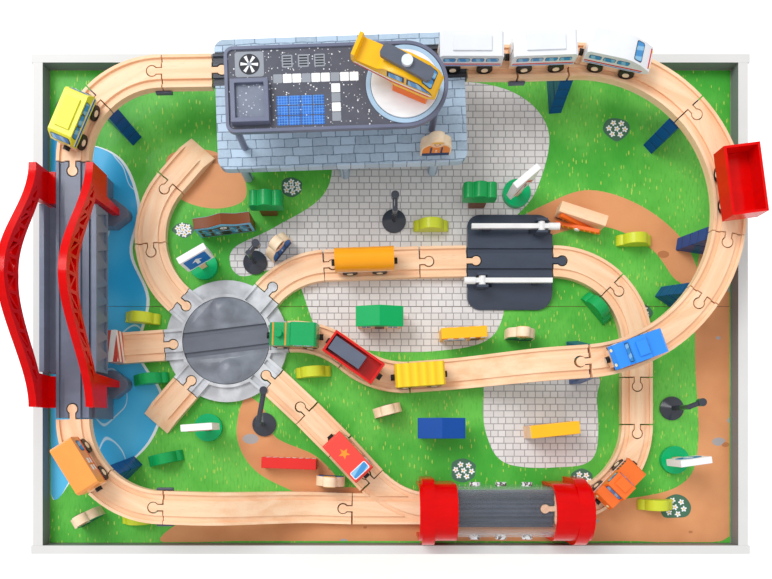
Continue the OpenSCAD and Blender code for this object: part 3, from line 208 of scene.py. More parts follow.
def paint_of(look, colour, rough=0.4, coat=0.0, change=0.03):
    """Brushed or sprayed paint on wood: slow change of tone, faint orange peel, duller patches."""
    spot = look.spot()
    wide = look.noise(spot, 22.0, 3.0)
    fine = look.noise(spot, 900.0, 2.0)
    tone = look.mix(look.step(wide, 0.3, 0.7), toned(colour, 1 - change), toned(colour, 1 + change))
    tone = look.mix(look.step(fine, 0.62, 0.8) * 0.12, tone, toned(colour, 0.7))
    return look.shaded(tone, rough + (wide - 0.5) * 0.16, look.bump(fine, 0.00006), coat_weight=coat,
                       coat_roughness=0.12)


def rail_of(look, colour, shade):
    """Rail paint with painted shade on the inside of the rim, above the boards."""
    along, _, up = look.parts(look.spot())
    short_rail = 0.4574
    inside = (abs(along) < short_rail) * (up > BOARD * MM)
    wide = look.noise(look.spot(), 22.0, 3.0)
    # Inside the rim, above the boards, the paint turns to the shade colour: painted shade on the inner faces.
    tone = look.mix(inside, colour, look.mix(wide, toned(shade, 0.97), toned(shade, 1.03)))
    return look.shaded(tone, 0.45 + (wide - 0.5) * 0.16, look.bump(wide, 0.00006))


def plastic_of(look, colour, rough=0.3, coat=0.15, shine=0.22):
    """Moulded plastic: fine spark texture, faint flow marks, even colour."""
    spot = look.spot()
    flow = look.noise(look.scaled(spot, (1.0, 2.4, 1.0)), 35.0, 2.0)
    spark = look.noise(spot, 2600.0, 1.0)
    tone = look.mix(look.step(flow, 0.25, 0.75), toned(colour, 0.93), toned(colour, 1.05))
    return look.shaded(tone, rough + (spark - 0.5) * 0.1, look.bump(spark, 0.00004), coat_weight=coat,
                       coat_roughness=0.08, specular_ior_level=shine)


def wood_of(look, colour, streak, rough=0.46):
    """Beech: long soft bands, short dark flecks along the grain, a little gloss from handling."""
    grain = look.grain()
    bands = look.noise(look.scaled(grain, (5.0, 85.0, 85.0)), 1.0, 4.0)
    fleck = look.noise(look.scaled(grain, (95.0, 1150.0, 1150.0)), 1.0, 1.0)
    tone = look.mix(look.step(bands, 0.32, 0.7), colour, streak)
    tone = look.mix(look.step(fleck, 0.62, 0.74) * 0.3, tone, toned(streak, 0.66))
    height = bands * 0.4 - look.step(fleck, 0.62, 0.74) * 0.6
    return look.shaded(tone, rough + (bands - 0.5) * 0.2, look.bump(height, 0.00008), coat_weight=0.08,
                       coat_roughness=0.3)


def stone_of(look, colour, joint):
    """Laid stones of uneven length with dark joints."""
    grain = look.grain()
    bent = look.moved(grain, look.scaled(look.noise(grain, 60.0, 2.0, 1), (0.003, 0.003, 0.0)))
    bricks = {"Vector": bent, "Scale": 1.0, "Mortar Size": 0.0007, "Mortar Smooth": 0.5, "Bias": 0.0,
              "Brick Width": 0.017, "Row Height": 0.0105, "Color1": toned(colour, 0.78),
              "Color2": toned(colour, 1.1), "Mortar": joint}
    shape = {"offset": 0.37, "offset_frequency": 2, "squash": 1.45, "squash_frequency": 3}
    tone = look.node("ShaderNodeTexBrick", shape, bricks)
    gap = look.node("ShaderNodeTexBrick", shape, bricks, 1)
    rub = look.noise(grain, 260.0, 4.0)
    tone = look.mix(look.step(rub, 0.4, 0.8) * 0.4, tone, toned(colour, 1.2))
    return look.shaded(tone, 0.5 + rub * 0.2, look.bump(rub * 0.3 - gap, 0.0002), coat_weight=0.1)


def slate_of(look, colour, speck):
    """Dark printed roofing with pale specks."""
    grain = look.grain()
    spots = look.cells(grain, 330.0)
    size = look.parts(look.cells(grain, 330.0, out=1))[0]
    fine = look.noise(grain, 900.0, 2.0)
    tone = look.mix(look.noise(grain, 60.0, 3.0), toned(colour, 0.8), toned(colour, 1.25))
    tone = look.mix(spots < size * 0.3, tone, speck)
    return look.shaded(tone, 0.42 + fine * 0.15, look.bump(fine, 0.00005), coat_weight=0.1)


def rock_of(look, colour, depth):
    """Moulded rock: broad facets and cracks, with painted shade in the hollows and a painted highlight on the
    ridges.
    """
    spot = look.spot()
    facets = look.cells(spot, 55.0, "SMOOTH_F1")
    wide = look.noise(spot, 70.0, 5.0)
    height = facets * 0.7 + wide * 0.6
    # Low parts darker and high parts paler: painted shade in the hollows and a painted highlight on the
    # ridges.
    tone = look.mix(look.step(height, 0.35, 0.95), toned(colour, 0.72), toned(colour, 1.18))
    return look.shaded(tone, 0.36 + wide * 0.14, look.bump(height, depth), coat_weight=0.2)


def ribbed_of(look, colour, pitch, depth, axis=1, groove=(0.25, 0.7)):
    """Plastic with ribs that run along the piece, or round it, with painted shade in the grooves and a
    painted highlight on the ribs.
    """
    across = look.parts(look.grain())[axis]
    ribs = look.step(across.wrapped(pitch / 2) * (2 / pitch), *groove)
    fine = look.noise(look.spot(), 1500.0, 1.0)
    # Grooves darker and ribs lighter: painted shade in the grooves and a painted highlight on the ribs.
    tone = look.mix(ribs, toned(colour, 0.72), toned(colour, 1.16))
    return look.shaded(tone, 0.34 + fine * 0.1, look.bump(ribs, depth), coat_weight=0.2)


def rippled_of(look, colour, pitch, depth):
    """Paint over rounded ripples that run across the piece, with painted shade in the troughs and a painted
    highlight on the crests.
    """
    along = look.parts(look.grain())[0]
    ripple = look.step(along.wrapped(pitch / 2) * (2 / pitch), 0.0, 1.0)
    wide = look.noise(look.spot(), 60.0, 2.0)
    # Troughs darker and crests lighter: painted shade and a painted highlight.
    tone = look.mix(ripple, toned(colour, 0.88), toned(colour, 1.08))
    return look.shaded(tone, 0.36 + wide * 0.1, look.bump(ripple, depth), coat_weight=0.15)


def lawn_of(look, colour, light, stroke):
    """Printed grass: broad soft shade and small upright strokes."""
    spot = look.spot()
    broad = look.noise(spot, 9.0, 3.0)
    tuft = look.scaled(spot, (250.0, 70.0, 0.0))
    blades = look.cells(tuft, 1.0)
    pick = look.parts(look.cells(tuft, 1.0, out=1))[0]
    faint = look.noise(look.scaled(spot, (420.0, 90.0, 0.0)), 1.0, 2.0)
    tone = look.mix(look.step(broad, 0.34, 0.68), colour, light)
    tone = look.mix(look.step(faint, 0.45, 0.75) * 0.35, tone, toned(colour, 0.8))
    tone = look.mix((blades < 0.2) * (pick * 0.5 + 0.3), tone, stroke)
    return look.shaded(tone, 0.5 + faint * 0.08, look.bump(faint, 0.00003), coat_weight=0.06)


def water_of(look, colour, light):
    """Printed water with a few pale ripples."""
    spot = look.spot()
    slow = look.noise(spot, 11.0, 1.0)
    line = abs(look.noise(look.scaled(spot, (1.0, 0.6, 1.0)), 17.0, 0.5) - 0.5)
    tone = look.mix(look.step(slow, 0.3, 0.7), colour, light)
    tone = look.mix((1.0 - look.step(line, 0.003, 0.008)) * 0.75, tone, rgb(220, 240, 250))
    return look.shaded(tone, 0.4 + slow * 0.08, look.bump(slow, 0.00004), coat_weight=0.1)


def lane_of(look, colour, dark, pebble):
    """Printed sandy lane with darker patches and scattered pebbles."""
    spot = look.spot()
    flat = look.scaled(spot, (0.75, 1.2, 0.0))
    stones = look.cells(flat, 34.0)
    pick = look.parts(look.cells(flat, 34.0, out=1))
    broad = look.noise(spot, 13.0, 3.0)
    grit = look.noise(spot, 700.0, 2.0)
    tone = look.mix(look.step(broad, 0.35, 0.75) * 0.7, colour, dark)
    tone = look.mix(look.step(grit, 0.5, 0.8) * 0.18, tone, toned(dark, 0.8))
    tone = look.mix((stones < pick[1] * 0.28) * (pick[0] > 0.35), tone, pebble)
    tone = look.mix((stones < pick[1] * 0.28) * (pick[0] < 0.35), tone, toned(dark, 0.82))
    return look.shaded(tone, 0.52 + grit * 0.08, look.bump(grit, 0.00003), coat_weight=0.05)


def paving_of(look, colour, joint):
    """Printed paving in running bond."""
    spot = look.spot()
    bricks = {"Vector": spot, "Scale": 1.0, "Mortar Size": 0.0007, "Mortar Smooth": 0.4, "Bias": 0.1,
              "Brick Width": 0.0135, "Row Height": 0.0085, "Color1": toned(colour, 0.9), "Color2": colour,
              "Mortar": joint}
    shape = {"offset": 0.5, "offset_frequency": 2, "squash": 0.72, "squash_frequency": 2}
    tone = look.node("ShaderNodeTexBrick", shape, bricks)
    soil = look.noise(spot, 40.0, 4.0)
    tone = look.mix(look.step(soil, 0.5, 0.8) * 0.4, tone, toned(colour, 0.72))
    return look.shaded(tone, 0.5 + soil * 0.1, look.bump(soil, 0.00004), coat_weight=0.06)


def rubber_of(look, colour):
    """Black wheel plastic with turning marks."""
    spot = look.spot()
    marks = look.noise(spot, 1400.0, 3.0)
    tone = look.mix(marks, toned(colour, 0.7), toned(colour, 1.5))
    return look.shaded(tone, 0.34 + marks * 0.2, look.bump(marks, 0.00006), coat_weight=0.15)


def metal_of(look, colour, rough=0.28):
    """Bright metal with fine brushing."""
    spot = look.spot()
    lines = look.noise(look.scaled(spot, (1.0, 1.0, 14.0)), 500.0, 2.0)
    tone = look.mix(lines, toned(colour, 0.85), toned(colour, 1.1))
    return look.shaded(tone, rough + lines * 0.18, look.bump(lines, 0.00003), metallic=1.0)


def clear_of(look, colour):
    """Clear plastic that shows most at its edges."""
    facing = look.node("ShaderNodeLayerWeight", None, {"Blend": 0.35}, 1)
    haze = look.noise(look.spot(), 120.0, 2.0)
    tone = look.mix(haze, toned(colour, 0.94), colour)
    alpha = (facing ** 2.0) * 0.5 + haze * 0.03 + 0.02
    return look.shaded(tone, 0.06 + haze * 0.04, look.bump(haze, 0.00005), alpha=alpha, coat_weight=0.6,
                       coat_roughness=0.03, specular_ior_level=0.5)


def crystal_of(look, colour, dark):
    """Clear cut studs whose bright facets are a painted glint and whose dark facets are painted shade."""
    spot = look.spot()
    pick = look.parts(look.cells(spot, 360.0, out=1))[0]
    facets = look.cells(spot, 360.0)
    # Bright facets are a painted glint, dark facets painted shade.
    tone = look.mix(look.step(pick, 0.4, 0.62), colour, dark)
    return look.shaded(tone, 0.06 + pick * 0.12, look.bump(facets, 0.0005), coat_weight=0.5, alpha=0.88)


def glass_of(look, colour, light):
    """Window pane with a slanting painted reflection."""
    along, across, up = look.parts(look.grain())
    slant = (along + up * 0.8 + across * 0.3).wrapped(0.006) * (1 / 0.006)
    soft = look.noise(look.spot(), 160.0, 2.0)
    # The slanting pale bands are a painted reflection.
    tone = look.mix(look.step(slant, 0.45, 0.75), colour, light)
    tone = look.mix(soft * 0.35, tone, toned(colour, 0.75))
    return look.shaded(tone, 0.2 + soft * 0.1, look.bump(soft, 0.00002), coat_weight=0.3)


def beech():
    return finish("beech", wood_of, rgb(253, 217, 181), rgb(245, 197, 155))


def pale_beech():
    return finish("pale_beech", wood_of, rgb(252, 230, 200), rgb(242, 210, 174))


def painted(name, red, green, blue, **more):
    return finish(name, paint_of, rgb(red, green, blue), **more)


def moulded(name, red, green, blue, **more):
    return finish(name, plastic_of, rgb(red, green, blue), **more)


def black():
    return finish("wheel_black", rubber_of, rgb(28, 26, 26))


def steel():
    return finish("bright_steel", metal_of, rgb(205, 208, 212))


def red_plastic():
    return finish("arch_plastic", plastic_of, tuple(colours().arch), rough=0.16, coat=0.08, shine=0.09)


def white():
    return painted("white_print", 242, 243, 245)


def dark_line():
    return painted("line_dark", 44, 48, 58)


def red_paint():
    return painted("stripe_red", 220, 40, 36)


def pane():
    return finish("window_pane", glass_of, rgb(70, 150, 215), rgb(150, 205, 240))


# Pieces


def at(x, y, heading=0.0, z=BOARD):
    """Where a piece stands: millimetres and degrees in, metres out."""
    return (Matrix.Translation((x * MM, y * MM, z * MM)) @ Matrix.Rotation(math.radians(heading), 4, "Z")
            @ Matrix.Scale(MM, 4))


def islands(bm):
    """The loose pieces of a mesh, as lists of its corners."""
    bm.verts.index_update()
    seen = [False] * len(bm.verts)
    bm.verts.ensure_lookup_table()
    found = []
    for first in bm.verts:
        if seen[first.index]:
            continue
        seen[first.index] = True
        group = [first]
        for vert in group:
            for edge in vert.link_edges:
                other = edge.other_vert(vert)
                if not seen[other.index]:
                    seen[other.index] = True
                    group.append(other)
        found.append(group)
    return found


class Island:
    """One loose piece: its corners in the place's own millimetres, and its box."""

    def __init__(self, verts, inverse):
        self.local = {vert: inverse @ vert.co for vert in verts}
        points = list(self.local.values())
        self.low = Vector([min(p[k] for p in points) for k in range(3)])
        self.high = Vector([max(p[k] for p in points) for k in range(3)])
        self.middle = (self.low + self.high) / 2
        self.size = self.high - self.low


def long_way(verts):
    """The heading of a piece's longest side, seen from above, in radians."""
    count = len(verts)
    mean = sum((v.co for v in verts), Vector()) / count
    xx = sum((v.co.x - mean.x) ** 2 for v in verts)
    yy = sum((v.co.y - mean.y) ** 2 for v in verts)
    xy = sum((v.co.x - mean.x) * (v.co.y - mean.y) for v in verts)
    return mean, 0.5 * math.atan2(2 * xy, xx - yy)


def put(name, bm, finishes, body, node=None, bevel=0.0):
    """Makes a piece of a mesh, and lets it ride on its body in place of its CAD node."""
    for edge in bm.edges:
        edge.smooth = len(edge.link_faces) == 2 and edge.calc_face_angle(0.0) < SHARP
    for face in bm.faces:
        face.smooth = True
    mesh = bpy.data.meshes.new(name)
    bm.to_mesh(mesh)
    bm.free()
    for item in finishes:
        mesh.materials.append(item)
    piece = bpy.data.objects.new(name, mesh)
    bpy.context.scene.collection.objects.link(piece)
    if bevel:
        edge = piece.modifiers.new("rounded_edges", "BEVEL")
        edge.width = bevel * MM
        edge.segments = 2
        edge.limit_method = "ANGLE"
        edge.angle_limit = SHARP
        edge.harden_normals = True
        edge.use_clamp_overlap = True
    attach(piece, body)
    if node:
        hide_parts(node)
    return piece


def dressed(node, body, finishes, choose=None, place=None, bevel=0.7, faces=None, merge=True):
    """Copies a node's mesh with soft edges, grain along each loose piece, and a finish for each one.

    choose(island) gives the number of the island's finish. faces(face, island) may give another for a face.
    merge joins flat neighbours, which a face with a hole in it does not bear.
    """
    bm = bmesh.new()
    bm.from_mesh(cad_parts[node].data)
    bmesh.ops.remove_doubles(bm, verts=bm.verts[:], dist=0.000002)
    if merge:
        bmesh.ops.dissolve_limit(bm, angle_limit=math.radians(0.5), verts=bm.verts[:], edges=bm.edges[:])
    grain = bm.verts.layers.float_vector.new("grain")
    inverse = (place or Matrix.Scale(MM, 4)).inverted()
    for number, verts in enumerate(islands(bm)):
        island = Island(verts, inverse)
        shift = Vector((number * 0.37, number * 0.211, number * 0.133))
        if place is None:
            mean, turn = long_way(verts)
            turned = Matrix.Rotation(-turn, 3, "Z")
            for vert in verts:
                vert[grain] = turned @ (vert.co - mean) + shift
        else:
            for vert in verts:
                vert[grain] = island.local[vert] * MM + shift
        pick = choose(island) if choose else 0
        for face in {face for vert in verts for face in vert.link_faces}:
            other = faces(face, island) if faces else None
            face.material_index = pick if other is None else other
    return put(node + "_dress", bm, finishes, body, node, bevel)


def where(test, kind=1, other=0):
    """A choice of finish for the faces whose corners all pass a test, in the place's millimetres."""
    def choose(face, island):
        return kind if all(test(island.local[vert]) for vert in face.verts) else other
    return choose


class Work:
    """Small fitted pieces, such as windows, stripes and trim, gathered into one piece.

    Each finish has a plain name, by which the shapes choose it.
    """

    sunk = SUNK

    def __init__(self, **finishes):
        self.bm = bmesh.new()
        self.kinds = list(finishes)
        self.finishes = list(finishes.values())
        self.grain = self.bm.verts.layers.float_vector.new("grain")

    def ring(self, outline, z, place):
        verts = []
        for x, y in outline:
            vert = self.bm.verts.new(place @ Vector((x, y, z)))
            vert[self.grain] = Vector((x, y, z)) * MM
            verts.append(vert)
        return verts

    def sheet(self, kind, outline, z, place):
        """A flat printed shape."""
        self.bm.faces.new(self.ring(outline, z, place)).material_index = self.kinds.index(kind)

    def prism(self, kind, outline, low, high, place):
        """An outline in the place's XY plane, raised from low to high."""
        bottom = self.ring(outline, low, place)
        top = self.ring(outline, high, place)
        made = [self.bm.faces.new(top), self.bm.faces.new(bottom[::-1])]
        for i in range(len(outline)):
            j = (i + 1) % len(outline)
            made.append(self.bm.faces.new((bottom[i], bottom[j], top[j], top[i])))
        for face in made:
            face.material_index = self.kinds.index(kind)

    def paint(self, kind, outline, place, lift=1):
        """A painted outline that stands proud of the place's XY plane by some print depths."""
        self.prism(kind, outline, -self.sunk, lift * sizes().decal, place)

    def done(self, name, body, slot):
        bmesh.ops.recalc_face_normals(self.bm, faces=self.bm.faces[:])
        return put(name, self.bm, self.finishes, body)


def oblong(x0, x1, y0, y1, corner=0.0, steps=4):
    """A rectangle with round corners."""
    if not corner:
        return [(x0, y0), (x1, y0), (x1, y1), (x0, y1)]
    points = []
    for cx, cy, turn in ((x1 - corner, y0 + corner, -90), (x1 - corner, y1 - corner, 0),
                         (x0 + corner, y1 - corner, 90), (x0 + corner, y0 + corner, 180)):
        for k in range(steps + 1):
            a = math.radians(turn + 90 * k / steps)
            points.append((cx + corner * math.cos(a), cy + corner * math.sin(a)))
    return points


def arc_of(x, y, r, start, step, count):
    """Points along an arc, from a start angle on in steps of some degrees."""
    turns = [math.radians(start + step * k) for k in range(count)]
    return [(x + r * math.cos(turn), y + r * math.sin(turn)) for turn in turns]


def round_of(x, y, r, steps=24, squeeze=1.0, turn=0.0):
    """A circle or ellipse."""
    points = []
    c, s = math.cos(math.radians(turn)), math.sin(math.radians(turn))
    for k in range(steps):
        a = 2 * math.pi * k / steps
        px, py = r * math.cos(a), r * squeeze * math.sin(a)
        points.append((x + px * c - py * s, y + px * s + py * c))
    return points


def smooth_loop(points, steps=8):
    """A closed smooth curve through points."""
    count = len(points)
    out = []
    for i in range(count):
        p0, p1, p2, p3 = (Vector(points[(i + k) % count]) for k in (-1, 0, 1, 2))
        for k in range(steps):
            t = k / steps
            q = 0.5 * ((2 * p1) + (p2 - p0) * t + (2 * p0 - 5 * p1 + 4 * p2 - p3) * t * t
                       + (3 * p1 - p0 - 3 * p2 + p3) * t ** 3)
            out.append((q.x, q.y))
    return out


def side_of(place, side, y):
    """A frame on the side of a vehicle or panel: X along it, Y up, Z outward."""
    turn = Matrix.Rotation(math.radians(90), 4, "X")
    if side > 0:
        turn = Matrix.Rotation(math.radians(180), 4, "Z") @ turn
    return place @ Matrix.Translation((0, side * y, 0)) @ turn


def slope_of(place, low, high):
    """A frame on a face that rises from low to high in the XZ plane: X across, Y up it, Z outward."""
    up = Vector((high[0] - low[0], 0, high[1] - low[1])).normalized()
    out = Vector((up.z, 0, -up.x))
    if out.x * low[0] < 0 and abs(out.x) > 0.05:
        out = -out
    if abs(out.x) <= 0.05:
        out = Vector((0, 0, 1))
    across = up.cross(out)
    turn = Matrix((across, up, out)).transposed().to_4x4()
    return place @ Matrix.Translation((low[0], 0, low[1])) @ turn


# Sizes and colours that a user may change


def colour_prop(name, about, red, green, blue):
    return bpy.props.FloatVectorProperty(name=name, description=about, subtype="COLOR", size=4, min=0.0,
                                         max=1.0, default=rgb(red, green, blue))


class TrainTableColours(bpy.types.PropertyGroup):
    rim: colour_prop("Rim paint", "Colour of the table's rails and legs", 219, 219, 218)
    lawn: colour_prop("Lawn", "Colour of the printed grass", 64, 168, 52)
    lawn_light: colour_prop("Light lawn", "Colour of the paler printed grass", 112, 204, 82)
    water: colour_prop("Water", "Colour of the printed river", 40, 168, 224)
    lane: colour_prop("Lane", "Colour of the printed sandy lane", 226, 158, 108)
    paving: colour_prop("Paving", "Colour of the printed paving", 228, 225, 224)
    arch: colour_prop("Arch red", "Colour of the bridge arches and tunnel portals", 216, 1, 3)
    deck: colour_prop("Deck grey", "Colour of the bridge deck", 112, 122, 142)
    support: colour_prop("Support blue", "Colour of the track supports", 0, 66, 132)
    stone: colour_prop("Platform stone", "Colour of the station platform", 182, 204, 224)
    roof: colour_prop("Roof slate", "Colour of the station roof", 84, 86, 98)
    helicopter: colour_prop("Helicopter yellow", "Colour of the helicopter", 250, 190, 20)


class TrainTableSizes(bpy.types.PropertyGroup):
    edge: bpy.props.FloatProperty(name="Edge round", description="Round of the wooden edges, in millimetres",
                                  default=0.8, min=0.1, max=2.0)
    decal: bpy.props.FloatProperty(name="Print depth", description="Depth of painted details, in millimetres",
                                   default=0.2, min=0.05, max=0.6)
    camera_height: bpy.props.FloatProperty(name="Camera height", description="Height of the camera",
                                           default=1.4, unit="LENGTH")
    focal: bpy.props.FloatProperty(name="Lens", description="Focal length of the camera, in millimetres",
                                   default=35.72)


def colours():
    return bpy.context.scene.train_table_colours


def sizes():
    return bpy.context.scene.train_table_sizes


# Table


class TRAINTABLE_OT_frame(bpy.types.Operator):
    """Paints the rails and legs, and finishes the battens, bolts and glides"""
    bl_idname = "train_table.frame"
    bl_label = "Table frame"

    def execute(self, context):
        rim = finish("rim_paint", paint_of, tuple(colours().rim), rough=0.45, change=0.012)
        # The inner faces of the rails get a darker grey that is painted shade.
        shade = finish("rim_painted_shade", rail_of, tuple(colours().rim), rgb(132, 133, 136))

        def inner(face, island):
            middle = face.calc_center_median()
            return 1 if face.normal.xy.dot(middle.xy) < -0.2 and abs(face.normal.z) < 0.3 else 0
        for node in ("long_rails", "short_rails"):
            dressed(node, "table", [rim, shade], None, None, 1.2, inner)
        dressed("legs", "table", [rim], bevel=2.0)
        dressed("leg_glides", "table", [moulded("glide_plastic", 40, 40, 42, rough=0.5)])
        dressed("board_battens", "table", [finish("batten_wood", wood_of, rgb(226, 190, 146),
                                                                 rgb(196, 150, 104))], bevel=1.0)
        dressed("frame_bolts", "table", [steel()], bevel=0.4)
        return {"FINISHED"}


class TRAINTABLE_OT_boards(bpy.types.Operator):
    """Lays the two printed play boards with lawn, river, lane, paving and flower beds"""
    bl_idname = "train_table.boards"
    bl_label = "Play boards"

    river = [(-446, 205), (-400, 212), (-352, 190), (-330, 130), (-340, 70), (-318, 10), (-330, -60),
             (-300, -118), (-316, -176), (-362, -214), (-404, -208), (-446, -226)]
    lane_south = [(-300, -306), (-190, -306), (60, -306), (300, -306), (444, -300), (444, -190), (444, 40),
                  (430, 120), (402, 60), (398, -60), (402, -180), (380, -232), (300, -252), (170, -262),
                  (20, -250), (-60, -236), (-150, -262), (-232, -262)]
    lane_north = [(150, 100), (204, 134), (262, 152), (330, 130), (384, 84), (404, 30), (374, 34), (340, 76),
                  (280, 104), (214, 94), (164, 62)]
    lane_west = [(-190, -120), (-166, -132), (-150, -170), (-96, -196), (-62, -236), (-70, -262),
                 (-120, -244), (-176, -214), (-200, -170)]
    soil = [(-290, 196), (-236, 204), (-196, 178), (-190, 140), (-232, 128), (-280, 146)]
    square = [(138, -96), (262, -88), (270, -120), (266, -196), (214, -210), (150, -204), (126, -168),
              (122, -120)]
    plaza = [(-92, -36), (-40, -56), (60, -58), (132, -40), (152, 20), (146, 92), (190, 150), (206, 232),
             (150, 284), (40, 290), (-60, 240), (-84, 150), (-150, 104), (-206, 74), (-196, 40), (-130, 46)]
    beds = [(-410, 262, 24), (-300, -262, 22), (296, 232, 18), (96, -214, 18), (250, -226, 16),
            (372, -262, 20), (326, -8, 15), (-270, 100, 13), (402, 250, 20), (-128, 156, 15)]

    def execute(self, context):
        tints = colours()
        lawn = finish("board_lawn", lawn_of, tuple(tints.lawn), tuple(tints.lawn_light), rgb(196, 214, 96))
        edge = finish("board_edge", wood_of, rgb(206, 170, 126), rgb(180, 140, 98))

        def top_or_edge(face, island):
            return 0 if face.normal.z > 0.5 else 1
        dressed("play_boards", "table", [lawn, edge], bevel=0.3, faces=top_or_edge)
        work = Work(river=finish("river_print", water_of, tuple(tints.water), rgb(92, 198, 244)),
                    lane=finish("lane_print", lane_of, tuple(tints.lane), rgb(206, 134, 86),
                                rgb(172, 166, 166)),
                    paving=finish("paving_print", paving_of, tuple(tints.paving), rgb(160, 157, 158)),
                    foam=painted("foam_print", 236, 244, 246), bed=painted("bed_print", 74, 116, 92),
                    petal=painted("petal_print", 244, 246, 252),
                    middle=painted("flower_middle", 240, 200, 60))
        flat = at(0, 0)
        foam = [(x - 3 if x < -440 else x + 4, y) for x, y in self.river]
        for kind, z, loop in (("foam", 0.05, foam), ("river", 0.10, self.river),
                              ("lane", 0.12, self.lane_south), ("lane", 0.14, self.lane_north),
                              ("lane", 0.13, self.lane_west), ("lane", 0.11, self.soil),
                              ("paving", 0.16, self.square), ("paving", 0.15, self.plaza)):
            outline = [(max(-RIM_X, min(RIM_X, x)), max(-RIM_Y, min(RIM_Y, y))) for x, y in smooth_loop(loop)]
            work.sheet(kind, outline, z, flat)
        for number, bed in enumerate(self.beds):
            self.plant(work, flat, number, *bed)
        for y in (SEAM * MM, -SEAM * MM):
            bmesh.ops.bisect_plane(work.bm, geom=work.bm.verts[:] + work.bm.edges[:] + work.bm.faces[:],
                                   plane_co=(0, y, 0), plane_no=(0, 1, 0))
        seam = [face for face in work.bm.faces if abs(face.calc_center_median().y) < SEAM * MM]
        bmesh.ops.delete(work.bm, geom=seam, context="FACES")
        work.done("board_picture", "table", "board_print")
        return {"FINISHED"}

    def plant(self, work, flat, number, x, y, r):
        """A dark bed with seven five-petalled flowers."""
        lobes = [(x + r * (1 + 0.16 * math.cos(3 * k + number)) * math.cos(k * math.pi / 4),
                  y + r * (0.8 + 0.12 * math.sin(2 * k + number)) * math.sin(k * math.pi / 4))
                 for k in range(8)]
        work.sheet("bed", smooth_loop(lobes, 5), 0.18, flat)
        for k in range(7):
            reach = r * 0.58 if k else 0
            fx = x + reach * math.cos(k * 1.05 + number)
            fy = y + reach * 0.8 * math.sin(k * 1.05 + number)
            for petal, (px, py) in enumerate(arc_of(fx, fy, 2.2, 20 * k, 72, 5)):
                leaf = round_of(px, py, 1.9, 10, 0.66, petal * 72 + 20 * k)
                work.sheet("petal", leaf, 0.2 + 0.004 * petal, flat)
            work.sheet("middle", round_of(fx, fy, 1.2, 10), 0.24, flat)


# Track


class TRAINTABLE_OT_track(bpy.types.Operator):
    """Finishes the wooden track, its clips and its supports"""
    bl_idname = "train_table.track"
    bl_label = "Track"

    def execute(self, context):
        def buffer_or_track(island):
            return 1 if island.low.z > BOARD + 11 and island.size.x < 60 else 0
        stripes = finish("buffer_paint", buffer_of, rgb(244, 240, 236), rgb(204, 40, 34))
        edge = sizes().edge
        dressed("ground_track", "table", [beech(), stripes], buffer_or_track, bevel=edge)
        dressed("raised_track", "table", [beech()], bevel=edge)
        dressed("track_clips", "table", [moulded("clip_plastic", 86, 92, 112)], bevel=0.8)
        dressed("support_blocks", "table",
                [finish("support_plastic", ribbed_of, tuple(colours().support), 0.0165, 0.0005, axis=2,
                        groove=(0.05, 0.16))], bevel=1.2)
        return {"FINISHED"}


def buffer_of(look, colour, band):
    """A wooden block with slanting painted bands."""
    along, across, up = look.parts(look.grain())
    slant = (across + up + along * 0.2).wrapped(0.0065)
    wide = look.noise(look.grain(), 80.0, 3.0)
    tone = look.mix(slant > 0.0036, colour, band)
    tone = look.mix(wide * 0.2, tone, rgb(250, 214, 176))
    return look.shaded(tone, 0.4 + wide * 0.15, look.bump(wide, 0.00005), coat_weight=0.1)


# Bridge


class TRAINTABLE_OT_bridge(bpy.types.Operator):
    """Finishes the bridge deck, its red arches and its piers"""
    bl_idname = "train_table.bridge"
    bl_label = "Bridge"

    def execute(self, context):
        deck = finish("deck_plastic", plastic_of, tuple(colours().deck), rough=0.36)
        red = red_plastic()
        grey = moulded("pier_plastic", 106, 114, 132, rough=0.36)
        dressed("bridge_deck", "table", [deck], bevel=0.3)
        dressed("bridge_arches", "table", [red], bevel=0.8)
        dressed("bridge_piers", "table", [grey], bevel=1.0)
        return {"FINISHED"}


# Station


